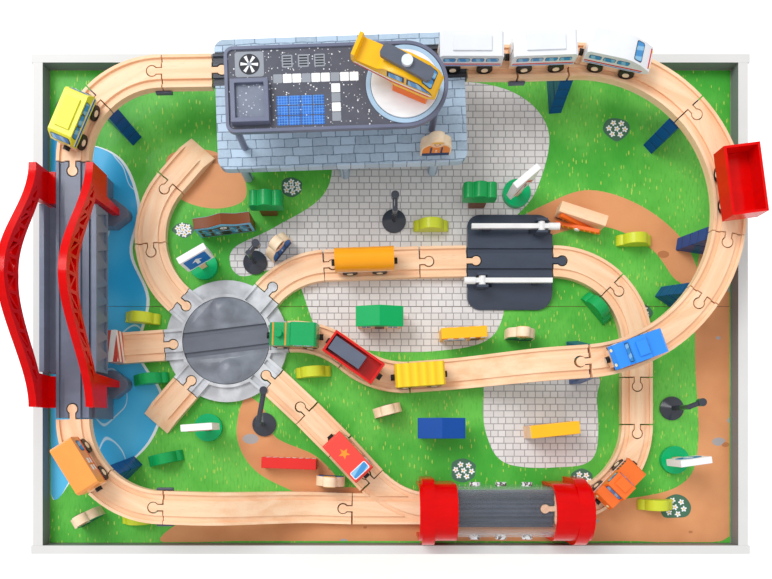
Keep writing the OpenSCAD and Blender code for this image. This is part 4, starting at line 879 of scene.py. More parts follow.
class TRAINTABLE_OT_station(bpy.types.Operator):
    """Finishes the platform, the roof and the landing pad"""
    bl_idname = "train_table.station"
    bl_label = "Station"

    def execute(self, context):
        tints = colours()
        place = at(-60.996, 234.411, 2)
        roof_top = ROOF - BOARD
        stone = finish("platform_stone", stone_of, tuple(tints.stone), rgb(112, 130, 154))
        dark = finish("platform_rails", ribbed_of, rgb(74, 78, 88), 0.0052, 0.0003)
        post = moulded("platform_post", 150, 170, 194)
        slate = finish("roof_slate", slate_of, tuple(tints.roof), rgb(226, 228, 232))
        lip = moulded("roof_lip", 108, 114, 138, rough=0.3)

        def stone_or_track(island):
            if island.size.x > 306:
                return 1
            return 2 if island.size.x < 20 else 0
        dressed("station_platform", "table", [stone, dark, post], stone_or_track, place,
                0.9)
        dressed("station_roof", "table", [slate, lip], None, place, 0.8,
                where(lambda point: abs(point.z - roof_top) < 0.3, 0, 1))
        self.roof_prints()
        pad = moulded("pad_white", 238, 240, 244)
        ring = moulded("pad_ring", 170, 200, 226)
        middle = (place.inverted() @ Vector((PAD_X * MM, PAD_Y * MM, 0))).xy
        dressed("landing_pad", "table", [pad, ring], None, place, 0.6,
                where(lambda point: (point.xy - middle).length <= 38.3, 0, 1))
        return {"FINISHED"}

    def roof_prints(self):
        """A generic roof: solar tiles, a tiled walk, a vent fan and a hatch pane."""
        place = at(PAD_X, PAD_Y, 2, ROOF)
        work = Work(solar=finish("solar_tile", solar_of, rgb(36, 104, 196), rgb(120, 180, 236)),
                    white=white(), grey=painted("print_grey", 150, 156, 166),
                    dark=painted("print_dark", 40, 42, 50),
                    hatch=finish("hatch_pane", slate_of, rgb(120, 128, 146), rgb(214, 220, 230)))
        work.sunk = 0.2
        for i in range(4):
            for j in range(3):
                x, y = -143 + i * 13.4, -41 + j * 11.2
                work.paint("solar", oblong(x, x + 12.4, y, y + 10.2, 0.8), place)
        for i in range(9):
            x = -146 + i * 10.6
            work.paint("white" if i % 3 else "grey", oblong(x, x + 9.8, 6, 15.8, 0.9), place)
        for j in range(4):
            y = -38 + j * 10.6
            work.paint("white" if j % 2 else "grey", oblong(-82, -72.2, y, y + 9.8, 0.9), place)
        work.paint("grey", oblong(-188, -156, 14, 42, 3), place)
        fan_x, fan_y = -172, 28
        work.paint("dark", round_of(fan_x, fan_y, 11.5, 36), place, 2)
        for k in range(6):
            hub = (place @ Matrix.Translation((fan_x, fan_y, 0))
                   @ Matrix.Rotation(math.radians(60 * k), 4, "Z"))
            work.paint("white", [(1.6, -0.6), (9.6, -2.4), (9.9, 1.2), (1.6, 0.8)], hub, 3)
        work.paint("grey", round_of(fan_x, fan_y, 2.4, 18), place, 4)
        for x in (-130, -112, -94):
            work.paint("grey", oblong(x - 6, x + 6, 23, 37, 1.2), place)
            for k in range(4):
                work.paint("dark", oblong(x - 4.6, x + 4.6, 24.8 + 3 * k, 26.2 + 3 * k, 0.5), place, 2)
        work.prism("hatch", oblong(-187.6, -156.4, -33.6, 3.6, 2.0), 3.9, 4 + sizes().decal, place)
        work.done("roof_picture", "table", "roof_dark")


def solar_of(look, colour, line):
    """A solar tile with fine pale lines."""
    along, across, _ = look.parts(look.grain())
    grid = (along.wrapped(0.0015).smallest(across.wrapped(0.0015))) < 0.00022
    soft = look.noise(look.spot(), 90.0, 2.0)
    tone = look.mix(look.step(soft, 0.3, 0.7), toned(colour, 0.8), toned(colour, 1.2))
    tone = look.mix(grid * 0.7, tone, line)
    return look.shaded(tone, 0.26 + soft * 0.1, look.bump(soft, 0.00003), coat_weight=0.3)


class TRAINTABLE_OT_helicopter(bpy.types.Operator):
    """Finishes the helicopter with its windows, stripe and rotor"""
    bl_idname = "train_table.helicopter"
    bl_label = "Helicopter"

    length, height, shift, skids_top, half = 98, 30, 9.8, 13, 13
    # Kind, print depths and outline of each print on a flank, in shares of the length and height
    prints = (
        ("orange", 1, ((0, -0.43), (0.4, -0.43), (0.4, 0), (0, 0))),
        ("dark", 1, ((0.155, 0.47), (0.462, 0.47), (0.425, 0.61), (0.295, 0.885), (0.155, 0.885))),
        ("pane", 2, ((0.175, 0.51), (0.442, 0.51), (0.41, 0.6), (0.285, 0.845), (0.175, 0.845))),
        ("dark", 1, ((-0.075, 0.5), (0.125, 0.5), (0.125, 0.885), (-0.075, 0.865))),
        ("pane", 2, ((-0.055, 0.54), (0.105, 0.54), (0.105, 0.845), (-0.055, 0.825))),
        ("white", 1, ((-0.46, 0.5), (0.0, 0.3), (0.44, 0.3), (0.46, 0.37), (0.0, 0.37), (-0.46, 0.57))),
        ("red", 1, ((-0.46, 0.44), (-0.02, 0.2), (0.42, 0.2), (0.44, 0.265), (0.0, 0.265), (-0.46, 0.485))),
    )

    def execute(self, context):
        place = at(PAD_X, PAD_Y, -23, 553.1)
        body = finish("helicopter_yellow", paint_of, tuple(colours().helicopter), **SHINY)
        skid = painted("skid_orange", 244, 116, 40)
        screw = moulded("screw_clear", 226, 232, 238, rough=0.1, coat=0.6)
        blade = moulded("rotor_slate", 92, 98, 112)

        dressed("helicopter_body", "helicopter_body", [body, skid], None, place, 1.0,
                where(lambda point: point.z < self.skids_top + 0.02))
        dressed("helicopter_rotor", "helicopter_rotor", [blade, screw], None, place, 0.8,
                where(lambda point: point.z > 49 and point.xy.length < 6.2))
        work = Work(pane=pane(), white=white(), red=red_paint(), dark=dark_line(), orange=skid)
        for side in (-1, 1):
            flank = side_of(place, side, self.half)
            for kind, lift, shares in self.prints:
                outline = [(-side * (x * self.length - self.shift), self.skids_top + z * self.height)
                           for x, z in shares]
                work.paint(kind, outline, flank, lift)
        nose = slope_of(place, (0.44 * self.length - self.shift, 31.0),
                        (0.3 * self.length - self.shift, 40.6))
        work.paint("dark", oblong(-10.4, 10.4, 1.0, 15.6, 2.4), nose)
        for x in (-5, 5):
            work.paint("pane", oblong(x - 4.4, x + 4.4, 1.9, 14.7, 1.8), nose, 2)
        work.done("helicopter_prints", "helicopter_body", "heli_yellow")
        return {"FINISHED"}


# Turntable, crossing, tunnel


class TRAINTABLE_OT_turntable(bpy.types.Operator):
    """Finishes the turntable's rocky ring and turning disc"""
    bl_idname = "train_table.turntable"
    bl_label = "Turntable"

    def execute(self, context):
        ring = finish("ring_rock", rock_of, rgb(208, 212, 217), 0.0006)
        disc = finish("disc_rock", rock_of, rgb(128, 135, 146), 0.0014)
        plank = moulded("disc_plank", 106, 112, 124, rough=0.34)
        dressed("turntable_ring", "table", [ring], None, at(TURNTABLE_X, TURNTABLE_Y, 4), 0.3,
                merge=False)
        piece = dressed("turntable_disc", "turntable_disc", [disc, plank], None,
                        at(TURNTABLE_X, TURNTABLE_Y, 7), 0.6, where(lambda point: abs(point.y) < 21))
        middle = Vector((TURNTABLE_X, TURNTABLE_Y)) * MM
        room = 0.2 * MM
        for vert in piece.data.vertices:
            reach = vert.co.xy - middle
            if reach.length > MM:
                vert.co.xy -= reach.normalized() * room
        return {"FINISHED"}


class TRAINTABLE_OT_crossing(bpy.types.Operator):
    """Finishes the level crossing and its two barriers"""
    bl_idname = "train_table.crossing"
    bl_label = "Level crossing"

    def execute(self, context):
        place = at(99.7685, 57.1043, 0)
        dark = moulded("crossing_plastic", 66, 74, 90, rough=0.32)
        boom = moulded("boom_white", 240, 240, 240, rough=0.3)
        dressed("crossing_base", "table", [dark], None, place, 0.8)
        for node in ("barrier_rear", "barrier_front"):
            dressed(node, node, [boom], None, place, 0.4, merge=False)
        return {"FINISHED"}


class TRAINTABLE_OT_tunnel(bpy.types.Operator):
    """Finishes the tunnel's track base, clear shell and red portals"""
    bl_idname = "train_table.tunnel"
    bl_label = "Tunnel"

    def execute(self, context):
        place = at(139.068, -262.896, 180)
        dark = finish("tunnel_floor", ribbed_of, rgb(66, 74, 90), 0.0062, 0.0005)
        red = red_plastic()
        dressed("tunnel_base", "table", [dark], None, place, 0.7)
        clear = finish("shell_clear", clear_of, rgb(226, 234, 240))
        # The studs carry painted glints and painted shade on their facets.
        studs = finish("stud_clear", crystal_of, rgb(240, 242, 244), rgb(96, 88, 84))
        dressed("tunnel_shell", "table", [clear, studs], None, place, 0.5,
                where(lambda point: abs(point.y) <= 31.5, 0, 1))
        dressed("tunnel_portals", "table", [red], None, place, 0.9)
        return {"FINISHED"}


# Vehicles


class Vehicle:
    """One rail vehicle: its place, the finishes of its pieces and its painted details.

    A vehicle's slot has the name of its cab's finish, without a number that Blender may add.
    """

    def __init__(self, node, x, y, heading, top, cab, trim=None):
        self.node = node
        self.place = at(x, y, heading, top)
        self.slot = cab.name.split(".")[0]
        self.finishes = [cab, beech(), black(), steel(), trim or cab, pale_beech()]

    def is_coupler(self, island):
        return island.size.x < COUPLER_L and island.high.z < COUPLER_TOP

    def pick(self, island):
        """Cab, chassis, coupler or wheels, by where the loose piece is."""
        if island.low.z < 0 or self.is_coupler(island):
            return 2
        if island.low.z < 3:
            return 1
        return 0 if island.low.z < 18 else 4

    def pick_face(self, face, island):
        """Magnets on the couplers, and hubs and axle ends on the wheels."""
        if island.low.z < 0:
            far = self.from_axle(face, island, math.copysign(AXLE_X, island.middle.x))
            if far < PIN_R:
                return 3
            return 5 if far < HUB_R else None
        if self.is_coupler(island):
            end = max(abs(island.low.x), abs(island.high.x))
            return where(lambda point: abs(abs(point.x) - end) < 0.05, 3, None)(face, island)
        return None

    def from_axle(self, face, island, x):
        return max(math.hypot(island.local[v].x - x, island.local[v].z - AXLE_Z) for v in face.verts)

    def dress(self):
        dressed(self.node, self.node, self.finishes, self.pick, self.place, 1.1, self.pick_face)

    def dress_axles(self):
        for end, x in (("front", AXLE_X), ("rear", -AXLE_X)):
            node = self.node.replace("body", end + "_axle")

            def ring(face, island, x=x):
                far = self.from_axle(face, island, x)
                if far < PIN_R:
                    return 1
                return 2 if far < HUB_R else 0
            dressed(node, node, [black(), steel(), pale_beech()], None, self.place, 0.5, ring)

    def trim(self):
        """Makes room for windows, stripes and other painted details, which trimmed finishes."""
        self.work = Work(pane=pane(), white=white(), dark=dark_line(), red=red_paint(),
                         blue=painted("stripe_blue", 30, 96, 190),
                         orange=painted("print_orange", 240, 150, 50),
                         lamp=painted("lamp_print", 250, 236, 170), cab=self.finishes[0])

    def paint(self, kind, outline, place, lift=1):
        self.work.paint(kind, outline, place, lift)

    def trimmed(self):
        self.work.done(self.node + "_prints", self.node, self.slot)

    def sides(self):
        """Both flanks, each with the way that the vehicle's front lies in it."""
        return [(side_of(self.place, side, HALF), -side) for side in (-1, 1)]

    def slope(self, low, high):
        return slope_of(self.place, low, high)

    def top(self, x, z):
        return self.place @ Matrix.Translation((x, 0, z))

    def strip(self, kind, side, x0, x1, z0, z1, corner=0.5, lift=1):
        """A painted strip on a flank, given from rear to front."""
        flank, way = side
        low, high = sorted((x0 * way, x1 * way))
        self.paint(kind, oblong(low, high, z0, z1, corner), flank, lift)

    def window(self, side, x0, x1, z0, z1, edge="white", corner=1.6, rim=0.9):
        self.strip(edge, side, x0 - rim, x1 + rim, z0 - rim, z1 + rim, corner + rim * 0.6)
        self.strip("pane", side, x0, x1, z0, z1, corner, 2)

    def lamps(self, face, y, r, lift=1):
        for x in (-9, 9):
            self.paint("lamp", round_of(x, y, r, 16), face, lift)


class TRAINTABLE_OT_single_vehicles(bpy.types.Operator):
    """Finishes the seven vehicles that run on their own"""
    bl_idname = "train_table.single_vehicles"
    bl_label = "Single vehicles"

    def execute(self, context):
        red = finish("dumper_red", plastic_of, rgb(224, 2, 2), rough=0.14, coat=0.1, shine=0.1)
        fleet = (
            (self.tram_prints, "tram_body", -373.958, 204.532, 67, RAISED_TRACK,
             painted("tram_yellow", 228, 226, 62, **GLOSSY), painted("tram_roof", 232, 230, 84)),
            (self.van_prints, "parcel_wagon_body", -366.255, -203.347, 122, RAISED_TRACK,
             painted("parcel_orange", 252, 160, 76, **GLOSSY)),
            (self.diesel_prints, "blue_loco_body", 288.276, -66.747, -160, RAISED_TRACK,
             painted("loco_blue", 52, 146, 246, **GLOSSY)),
            (None, "dumper_body", 405.825, 126.968, -82.5, RAISED_TRACK, red),
            (self.diesel_prints, "orange_loco_body", 287.245, -228.749, -134, GROUND_TRACK,
             painted("loco_orange", 250, 118, 44, **GLOSSY)),
            (self.fire_prints, "fire_wagon_body", -53.6221, -194.848, -47.1819, GROUND_TRACK,
             painted("fire_red", 240, 74, 64, **GLOSSY)),
            (self.covered_prints, "covered_wagon_body", -33.1784, 53.5269, 2, GROUND_TRACK,
             painted("covered_orange", 250, 164, 16, **GLOSSY)))
        vehicles = [(prints, Vehicle(*settings)) for prints, *settings in fleet]
        for prints, vehicle in vehicles:
            vehicle.dress()
            vehicle.dress_axles()
        for prints, vehicle in vehicles:
            if prints:
                vehicle.trim()
                prints(vehicle)
                vehicle.trimmed()
        return {"FINISHED"}

    def tram_prints(self, tram):
        for side in tram.sides():
            for x in (-23.5, -8.5, 6.5):
                tram.window(side, x, x + 13, 28, 36.4, "dark")
            tram.strip("blue", side, -30.4, 30.4, 20.4, 23.4, 0.8)
            tram.strip("white", side, -30.6, 30.6, 24.2, 25.2, 0.4)
        for end in (-1, 1):
            front = tram.slope((end * 32.24, 24.7), (end * 27.28, 37.6))
            tram.paint("dark", oblong(-11.8, 11.8, 3.0, 13.4, 2.2), front)
            tram.paint("pane", oblong(-10.8, 10.8, 4.0, 12.4, 1.6), front, 2)
            tram.lamps(front, 1.0, 1.7)

    def van_prints(self, van):
        for side in van.sides():
            van.window(side, 13, 25, 24, 33, "dark")
            van.strip("white", side, -14, 2, 22.5, 33.5, 0.8)
            van.strip("orange", side, -7.2, -4.8, 22.5, 33.5, 0, 2)
            van.strip("orange", side, -14, 2, 26.8, 29.2, 0, 2)
            van.strip("red", side, -30, 30, 18.6, 20.2)

    def diesel_prints(self, loco):
        for side in loco.sides():
            loco.window(side, -5.4, 8.6, 32.6, 38.6, "dark")
            for k in range(4):
                loco.strip("dark", side, -26 + 4.2 * k, -23.4 + 4.2 * k, 22.5, 29.5, 0.6)
            loco.strip("white", side, -30, 30, 18.8, 20.4)
        length = 62
        for low_x, low_z, high_x in ((-0.16, 0.6, -0.12), (0.26, 0.56, 0.2)):
            screen = loco.slope((low_x * length, DECK + low_z * CAB), (high_x * length, DECK + 0.95 * CAB))
            loco.paint("dark", oblong(-11.6, 11.6, 0.8, 8.0, 1.4), screen)
            loco.paint("pane", oblong(-10.8, 10.8, 1.5, 7.3, 1.0), screen, 2)
        loco.lamps(loco.slope((32.24, 22.2), (28.52, 29.65)), 3.6, 2.0)

    def fire_prints(self, fire):
        for side in fire.sides():
            fire.window(side, 14, 26, 24.5, 32)
            fire.strip("white", side, -29, 10, 20.6, 22.6, 0.6)
            fire.strip("orange", side, -29, 10, 23.6, 25.0, 0.6)
        top = fire.top(0, DECK + CAB)
        fire.paint("white", oblong(16.6, 27.6, -12.2, 12.2, 2.2), top)
        fire.paint("pane", oblong(17.6, 26.6, -11.2, 11.2, 1.6), top, 2)
        valleys, points = (arc_of(-6, 0, r, start, 72, 5) for r, start in ((3.2, 0), (7.4, 36)))
        fire.paint("orange", [point for pair in zip(valleys, points) for point in pair], top)

    def covered_prints(self, covered):
        for side in covered.sides():
            covered.strip("white", side, -35, 35, 19, 20.2, 0.4)
        hoop = arc_of(0, 0, 14.75, 90, 10, 19) + arc_of(0, 0, 14.2, 270, -10, 19)
        for x in (-36.2, -12, 12, 36.2):
            upright = covered.top(x, 27.55) @ Matrix.Rotation(math.radians(90), 4, "Y")
            covered.work.prism("cab", hoop, -0.8, 0.8, upright)


class TRAINTABLE_OT_passenger_train(bpy.types.Operator):
    """Finishes the three cars of the white passenger train"""
    bl_idname = "train_table.passenger_train"
    bl_label = "Passenger train"

    length = 74

    def execute(self, context):
        coach = painted("coach_white", 234, 237, 242, **SHINY)
        roof = painted("coach_roof", 230, 234, 240)
        for node, x, y, heading in (("passenger_car_one", 91.9098, 282.77, 0),
                                    ("passenger_car_two", 176.695, 283.608, 2),
                                    ("passenger_nose_car", 264.002, 280.393, -12)):
            car = Vehicle(node, x, y, heading, RAISED_TRACK, coach, roof)
            car.dress()
            car.trim()
            windows, front, ends = (3, 33, self.nose) if node == "passenger_nose_car" else (4, 36, self.doors)
            for side in car.sides():
                for k in range(windows):
                    x0 = -32 + 16.6 * k
                    car.window(side, x0, x0 + 13.4, 28.4, 35.4, "dark", 1.8, 0.5)
                car.strip("red", side, -36, front, 21.4, 23.6, 0.6)
                car.strip("blue", side, -36, front, 18.8, 19.8, 0.4)
            ends(car)
            car.trimmed()
        return {"FINISHED"}

    def nose(self, car):
        tip, knee, brow = ((x * self.length, DECK + z * CAB)
                           for x, z in ((0.55, 0.3), (0.38, 0.68), (0.22, 0.92)))
        screen = car.slope(knee, brow)
        car.paint("dark", oblong(-11.6, 11.6, 0.6, 12.4, 2.4), screen)
        car.paint("pane", oblong(-10.6, 10.6, 1.5, 11.5, 1.8), screen, 2)
        bonnet = car.slope(tip, knee)
        car.paint("red", oblong(-12, 12, 2.0, 4.0, 0.6), bonnet)
        car.lamps(bonnet, 0.4, 1.5, 2)

    def doors(self, car):
        for x in (-self.length / 2, self.length / 2):
            door = car.slope((x, DECK + 1), (x, DECK + 20))
            car.paint("dark", oblong(-4, 4, 1, 19, 0.8), door)
            car.paint("white", oblong(-3.4, 3.4, 1.6, 18.4, 0.6), door, 2)


class TRAINTABLE_OT_goods_train(bpy.types.Operator):
    """Finishes the green locomotive, the hopper wagon and the tender"""
    bl_idname = "train_table.goods_train"
    bl_label = "Goods train"

    def execute(self, context):
        loco = Vehicle("green_loco", -121.553, -41.6441, 178.077, GROUND_TRACK,
                       painted("loco_green", 16, 164, 92, **SHINY))
        loco.dress()
        loco.trim()
        for side in loco.sides():
            for x in (-24, -11):
                loco.window(side, x, x + 10, 30, 37)
            loco.strip("orange", side, -30, 30, 18.8, 20.2)
        for x in (10, 26):
            bonnet = loco.top(x, DECK + (0.6 - (x - 5) / 22.3 * 0.08) * CAB)
            loco.paint("orange", oblong(-0.9, 0.9, -14.4, 14.4, 0.4), bonnet, 1.5)
        loco.trimmed()
        Vehicle("hopper_wagon", -46.4189, -70.664, 144.935, GROUND_TRACK,
                painted("hopper_red", 214, 20, 16, rough=0.26, coat=0.3),
                moulded("hopper_load", 96, 104, 122)).dress()
        Vehicle("tender_wagon", 36.1542, -92.084, -176.089, GROUND_TRACK,
                finish("tender_yellow", rippled_of, rgb(252, 206, 36), 0.0105, 0.0012)).dress()
        return {"FINISHED"}


# Scenery


class TRAINTABLE_OT_greenery(bpy.types.Operator):
    """Finishes the wooden trees and bushes"""
    bl_idname = "train_table.greenery"
    bl_label = "Trees and bushes"

    def execute(self, context):
        leaf = painted("leaf_green", 14, 156, 78, **LEAFY)
        bark = painted("trunk_brown", 112, 64, 34)
        lime = painted("lime_green", 206, 216, 54, **LEAFY)
        bush = painted("bush_green", 16, 166, 86, **LEAFY)
        greens = [Vector(spot) for spot in ((268.3, -2.8), (-311, -95), (-292, -198))]

        def trunk_or_leaf(island):
            return 1 if island.low.z < BOARD + 1 else 0

        def lime_or_green(island):
            return 1 if any((island.middle.xy - spot).length < 14 for spot in greens) else 0
        dressed("trees", "table", [leaf, bark], trunk_or_leaf, None, 1.0)
        dressed("bushes", "table", [lime, bush], lime_or_green, None, 1.0)
        return {"FINISHED"}


class TRAINTABLE_OT_signs(bpy.types.Operator):
    """Finishes the signs with plain pictograms, and the lamps with their lenses"""
    bl_idname = "train_table.signs"
    bl_label = "Signs and lamps"

    spots = [(-242, 52, 30), (164, 146, 40), (-236, -158, 4), (369, -200, 8)]
    lamps = [(-176, 57, 50, 14.7), (5, 111, 90, 16.8), (-164, -154, 80, 42), (367, -133, 20, 16.8)]
    arrow = [(-2.4, 12), (2.4, 12), (2.4, 24), (7, 24), (0, 33), (-7, 24), (-2.4, 24)]

    def execute(self, context):
        base = moulded("sign_base", 0, 178, 108, rough=0.26)
        board = painted("sign_board", 242, 243, 245)
        board_z = BOARD + 28.05

        def base_or_post(island):
            return 0 if island.low.z < BOARD + 1 else 1
        dressed("signs", "table", [base, beech(), board], base_or_post, None, 0.7,
                where(lambda point: point.z > board_z - 0.15, 2, None))
        disc = round_of(0, 23, 15.4, 36)
        pictograms = (
            (("blue", oblong(-15, 15, 4, 42, 2.4), 2), ("white", self.arrow, 3)),
            (("red", [(-16, 9), (16, 9), (0, 38)], 2), ("white", [(-10.8, 12), (10.8, 12), (0, 31.8)], 3),
             ("dark", oblong(-1.3, 1.3, 17.4, 25.5, 1.0), 4), ("dark", round_of(0, 14.8, 1.4, 14), 4)),
            (("red", disc, 2), ("white", oblong(-10.5, 10.5, 20.6, 25.4, 0.6), 3)),
            (("blue", disc, 2), ("white", self.arrow, 3)))
        work = Work(board=board, blue=painted("sign_blue", 24, 110, 200), red=red_paint(), white=white(),
                    dark=dark_line())
        for spot, pictogram in zip(self.spots, pictograms):
            for side in (-1, 1):
                face = side_of(at(*spot, board_z), side, 4)
                work.paint("board", oblong(-18.6, 18.6, 0.4, 45.6, 0.8), face)
                for kind, outline, lift in pictogram:
                    work.paint(kind, outline, face, lift)
        work.done("sign_prints", "table", "sign_wood")
        dressed("lamps", "table", [moulded("lamp_dark", 58, 62, 72, rough=0.18, coat=0.4)],
                bevel=0.5)
        lenses = Work(lens=painted("lens_print", 252, 240, 196, rough=0.2))
        for x, y, heading, reach in self.lamps:
            lenses.prism("lens", round_of(reach, 0, 4.1, 20), 49.4, 49.9, at(x, y, heading))
        lenses.done("lamp_lenses", "table", "lamp_dark")
        return {"FINISHED"}


class TRAINTABLE_OT_houses(bpy.types.Operator):
    """Finishes the small houses and panels, with plain painted doors, windows and stripes"""
    bl_idname = "train_table.houses"
    bl_label = "Houses"

    places = {"hall": (-14, -18, 0), "cabin": (64, -159, 0), "shop": (93, -38, 3), "front": (-212, 101, 7),
              "mill": (245, 113, -18), "crane": (205, -161, 6), "fence": (-130, -204, -2)}

    def near(self, island):
        return min(self.places, key=lambda name: (island.middle.xy - Vector(self.places[name][:2])).length)

    def pick(self, island):
        name = self.near(island)
        if island.low.z < BOARD + 1 and name in ("hall", "cabin", "mill"):
            return 0
        return {"hall": 1, "cabin": 2, "mill": 3, "shop": 4, "front": 5, "crane": 0, "fence": 6}[name]

    def crane_top(self, face, island):
        return 4 if self.near(island) == "crane" and face.normal.z > 0.5 else None

    def faces_of(self, name, half=7):
        return [side_of(at(*self.places[name]), side, half) for side in (-1, 1)]

    def glaze(self, x0, x1, z0, z1, face, edge="white"):
        self.work.paint(edge, oblong(x0 - 0.9, x1 + 0.9, z0 - 0.9, z1 + 0.9, 0.8), face, 2)
        self.work.paint("pane", oblong(x0, x1, z0, z1, 0.5), face, 3)

    def execute(self, context):
        finishes = [beech(), painted("hall_roof", 0, 168, 92), painted("cabin_roof", 12, 74, 158),
                    painted("mill_sail", 240, 106, 28), painted("shop_yellow", 252, 188, 36),
                    painted("front_brown", 126, 70, 38), painted("fence_red", 226, 48, 44)]
        dressed("houses", "table", finishes, self.pick, None, 0.7, self.crane_top)
        self.work = Work(pane=pane(), white=white(), brown=painted("door_brown", 104, 60, 36),
                         blue=painted("front_blue", 128, 198, 236),
                         yellow=painted("beam_yellow", 252, 190, 30), dark=dark_line(),
                         orange=painted("stripe_orange", 244, 132, 40))
        for prints, name, half in ((self.cottage, "hall", 11), (self.cottage, "cabin", 11),
                                   (self.shop, "shop", 7), (self.front, "front", 7), (self.mill, "mill", 7),
                                   (self.crane, "crane", 8), (self.fence, "fence", 7)):
            for face in self.faces_of(name, half):
                prints(self.work.paint, face)
        sail = (self.faces_of("mill")[0] @ Matrix.Translation((0, 15, 10.1))
                @ Matrix.Rotation(math.radians(20), 4, "Z"))
        for k in range(8):
            self.work.paint("yellow", oblong(-26 + 7 * k, -24 + 7 * k, -2.9, 2.9, 0.4), sail)
        self.work.paint("white", round_of(0, 0, 3.4, 20), sail, 6)
        self.work.done("house_prints", "table", "house_wood")
        return {"FINISHED"}

    def cottage(self, paint, face):
        paint("brown", oblong(-6, 6, 0.4, 21, 1.2), face, 2)
        paint("yellow", round_of(3.8, 10, 0.8, 12), face, 3)
        for x in (-23, 11):
            self.glaze(x, x + 12, 12, 24, face)
            paint("white", oblong(x + 5.5, x + 6.5, 12, 24), face, 4)

    def shop(self, paint, face):
        for k in range(8):
            paint("white" if k % 2 else "orange", oblong(-28 + 7 * k, -21 + 7 * k, 24, 33.4, 0.6), face)
        self.glaze(-24, 4, 8, 21, face)
        paint("brown", oblong(10, 22, 0.5, 21, 0.8), face)

    def front(self, paint, face):
        """A gabled front with a row of windows, a door and a clock."""
        paint("blue", [(-35.4, 0.6), (35.4, 0.6), (35.4, 40.4), (17.8, 40.4), (0, 49.2), (-17.8, 40.4),
                       (-35.4, 40.4)], face)
        paint("brown", [(-32, 3), (32, 3), (32, 34), (14, 34), (0, 40.6), (-14, 34), (-32, 34)], face, 2)
        paint("blue", oblong(-32, 32, 20.6, 22.4), face, 3)
        for x in (-28, -15, 7, 20):
            self.glaze(x, x + 8, 7.5, 18.5, face, "blue")
            self.glaze(x, x + 8, 24.5, 31.5, face, "blue")
        paint("dark", oblong(-4.4, 4.4, 3, 18, 1.0), face, 3)
        paint("white", round_of(0, 33.2, 4.4, 24), face, 4)
        paint("dark", oblong(-0.4, 0.4, 33, 36.6), face, 5)
        paint("dark", oblong(0, 2.6, 32.8, 33.6), face, 5)

    def mill(self, paint, face):
        for k in range(5):
            paint("brown", oblong(-29 + 12 * k, -20 + 12 * k, 2, 5, 0.6), face)

    def crane(self, paint, face):
        paint("brown", oblong(-30, 30, 0.6, 6, 1.0), face)
        paint("yellow", oblong(-20, -14, 6, 43, 0.8), face)
        paint("yellow", oblong(-27, 28, 36, 41, 0.8), face, 2)
        for k in range(6):
            x = -12 + 6.4 * k
            paint("dark", [(x, 36.6), (x + 1, 36.6), (x + 4, 40.4), (x + 3, 40.4)], face, 3)
        paint("dark", oblong(21.6, 22.6, 20, 36), face)
        paint("orange", oblong(17, 27, 11, 20, 0.8), face)

    def fence(self, paint, face):
        for k in range(8):
            x = -31.5 + 8.4 * k
            paint("white", [(x - 2.6, 1.5), (x + 2.6, 1.5), (x + 2.6, 17), (x, 20), (x - 2.6, 17)], face)


class TRAINTABLE_OT_figures(bpy.types.Operator):
    """Finishes the wooden figures with plain painted faces and clothes"""
    bl_idname = "train_table.figures"
    bl_label = "Figures"

    spots = [(-144, 74, 50, BOARD), (167, -38, -3, BOARD), (-4, -136, 15, BOARD), (-77, -226.5, -3, BOARD),
             (-390, -274, 30, BOARD), (52.168, 174.364, 2, 480)]

    def execute(self, context):
        dressed("figures", "table", [pale_beech()], bevel=0.8)
        work = Work(skin=painted("skin_print", 246, 206, 172), brown=painted("hair_brown", 92, 58, 34),
                    straw=painted("hair_straw", 232, 184, 88), dark=dark_line(),
                    blue=painted("shirt_blue", 46, 112, 190), green=painted("shirt_green", 48, 158, 92),
                    orange=painted("shirt_orange", 240, 140, 52), navy=painted("trousers_navy", 42, 60, 98),
                    white=white(), lip=painted("lip_red", 206, 84, 74))
        shirt = [(-16.2, 0.6), (16.2, 0.6)] + arc_of(0, 17, 16.2, 0, 12, 16)
        fringe = arc_of(0, 34.8, 7.9, 22, 13.6, 11) + [(0, 37.4)]
        smile = arc_of(0, 33.4, 2.6, 200, 14, 11) + arc_of(0, 33.4, 2.0, 340, -14, 11)
        for number, spot in enumerate(self.spots):
            hair = ("brown", "straw")[number % 2]
            for side in (-1, 1):
                face = side_of(at(*spot), side, 6)
                work.paint(("blue", "green", "orange")[number % 3], shirt, face)
                work.paint("navy", oblong(-16.2, 16.2, 0.6, 8.4, 1.0), face, 2)
                for x in (-7.4, 5.2):
                    work.paint("navy", oblong(x, x + 2.2, 8.4, 26.5, 0.4), face, 2)
                if side > 0:
                    work.paint(hair, round_of(0, 35, 7.9, 28), face, 3)
                    continue
                work.paint("skin", round_of(0, 34.8, 7.9, 28), face, 3)
                work.paint(hair, fringe, face, 4)
                for x in (-2.9, 2.9):
                    work.paint("dark", round_of(x, 35.2, 0.85, 14), face, 4)
                work.paint("lip", smile, face, 4)
                for z in (12, 17):
                    work.paint("white", round_of(0, z, 1.1, 14), face, 2)
        work.done("figure_prints", "table", "figure_wood")
        return {"FINISHED"}


# Stage


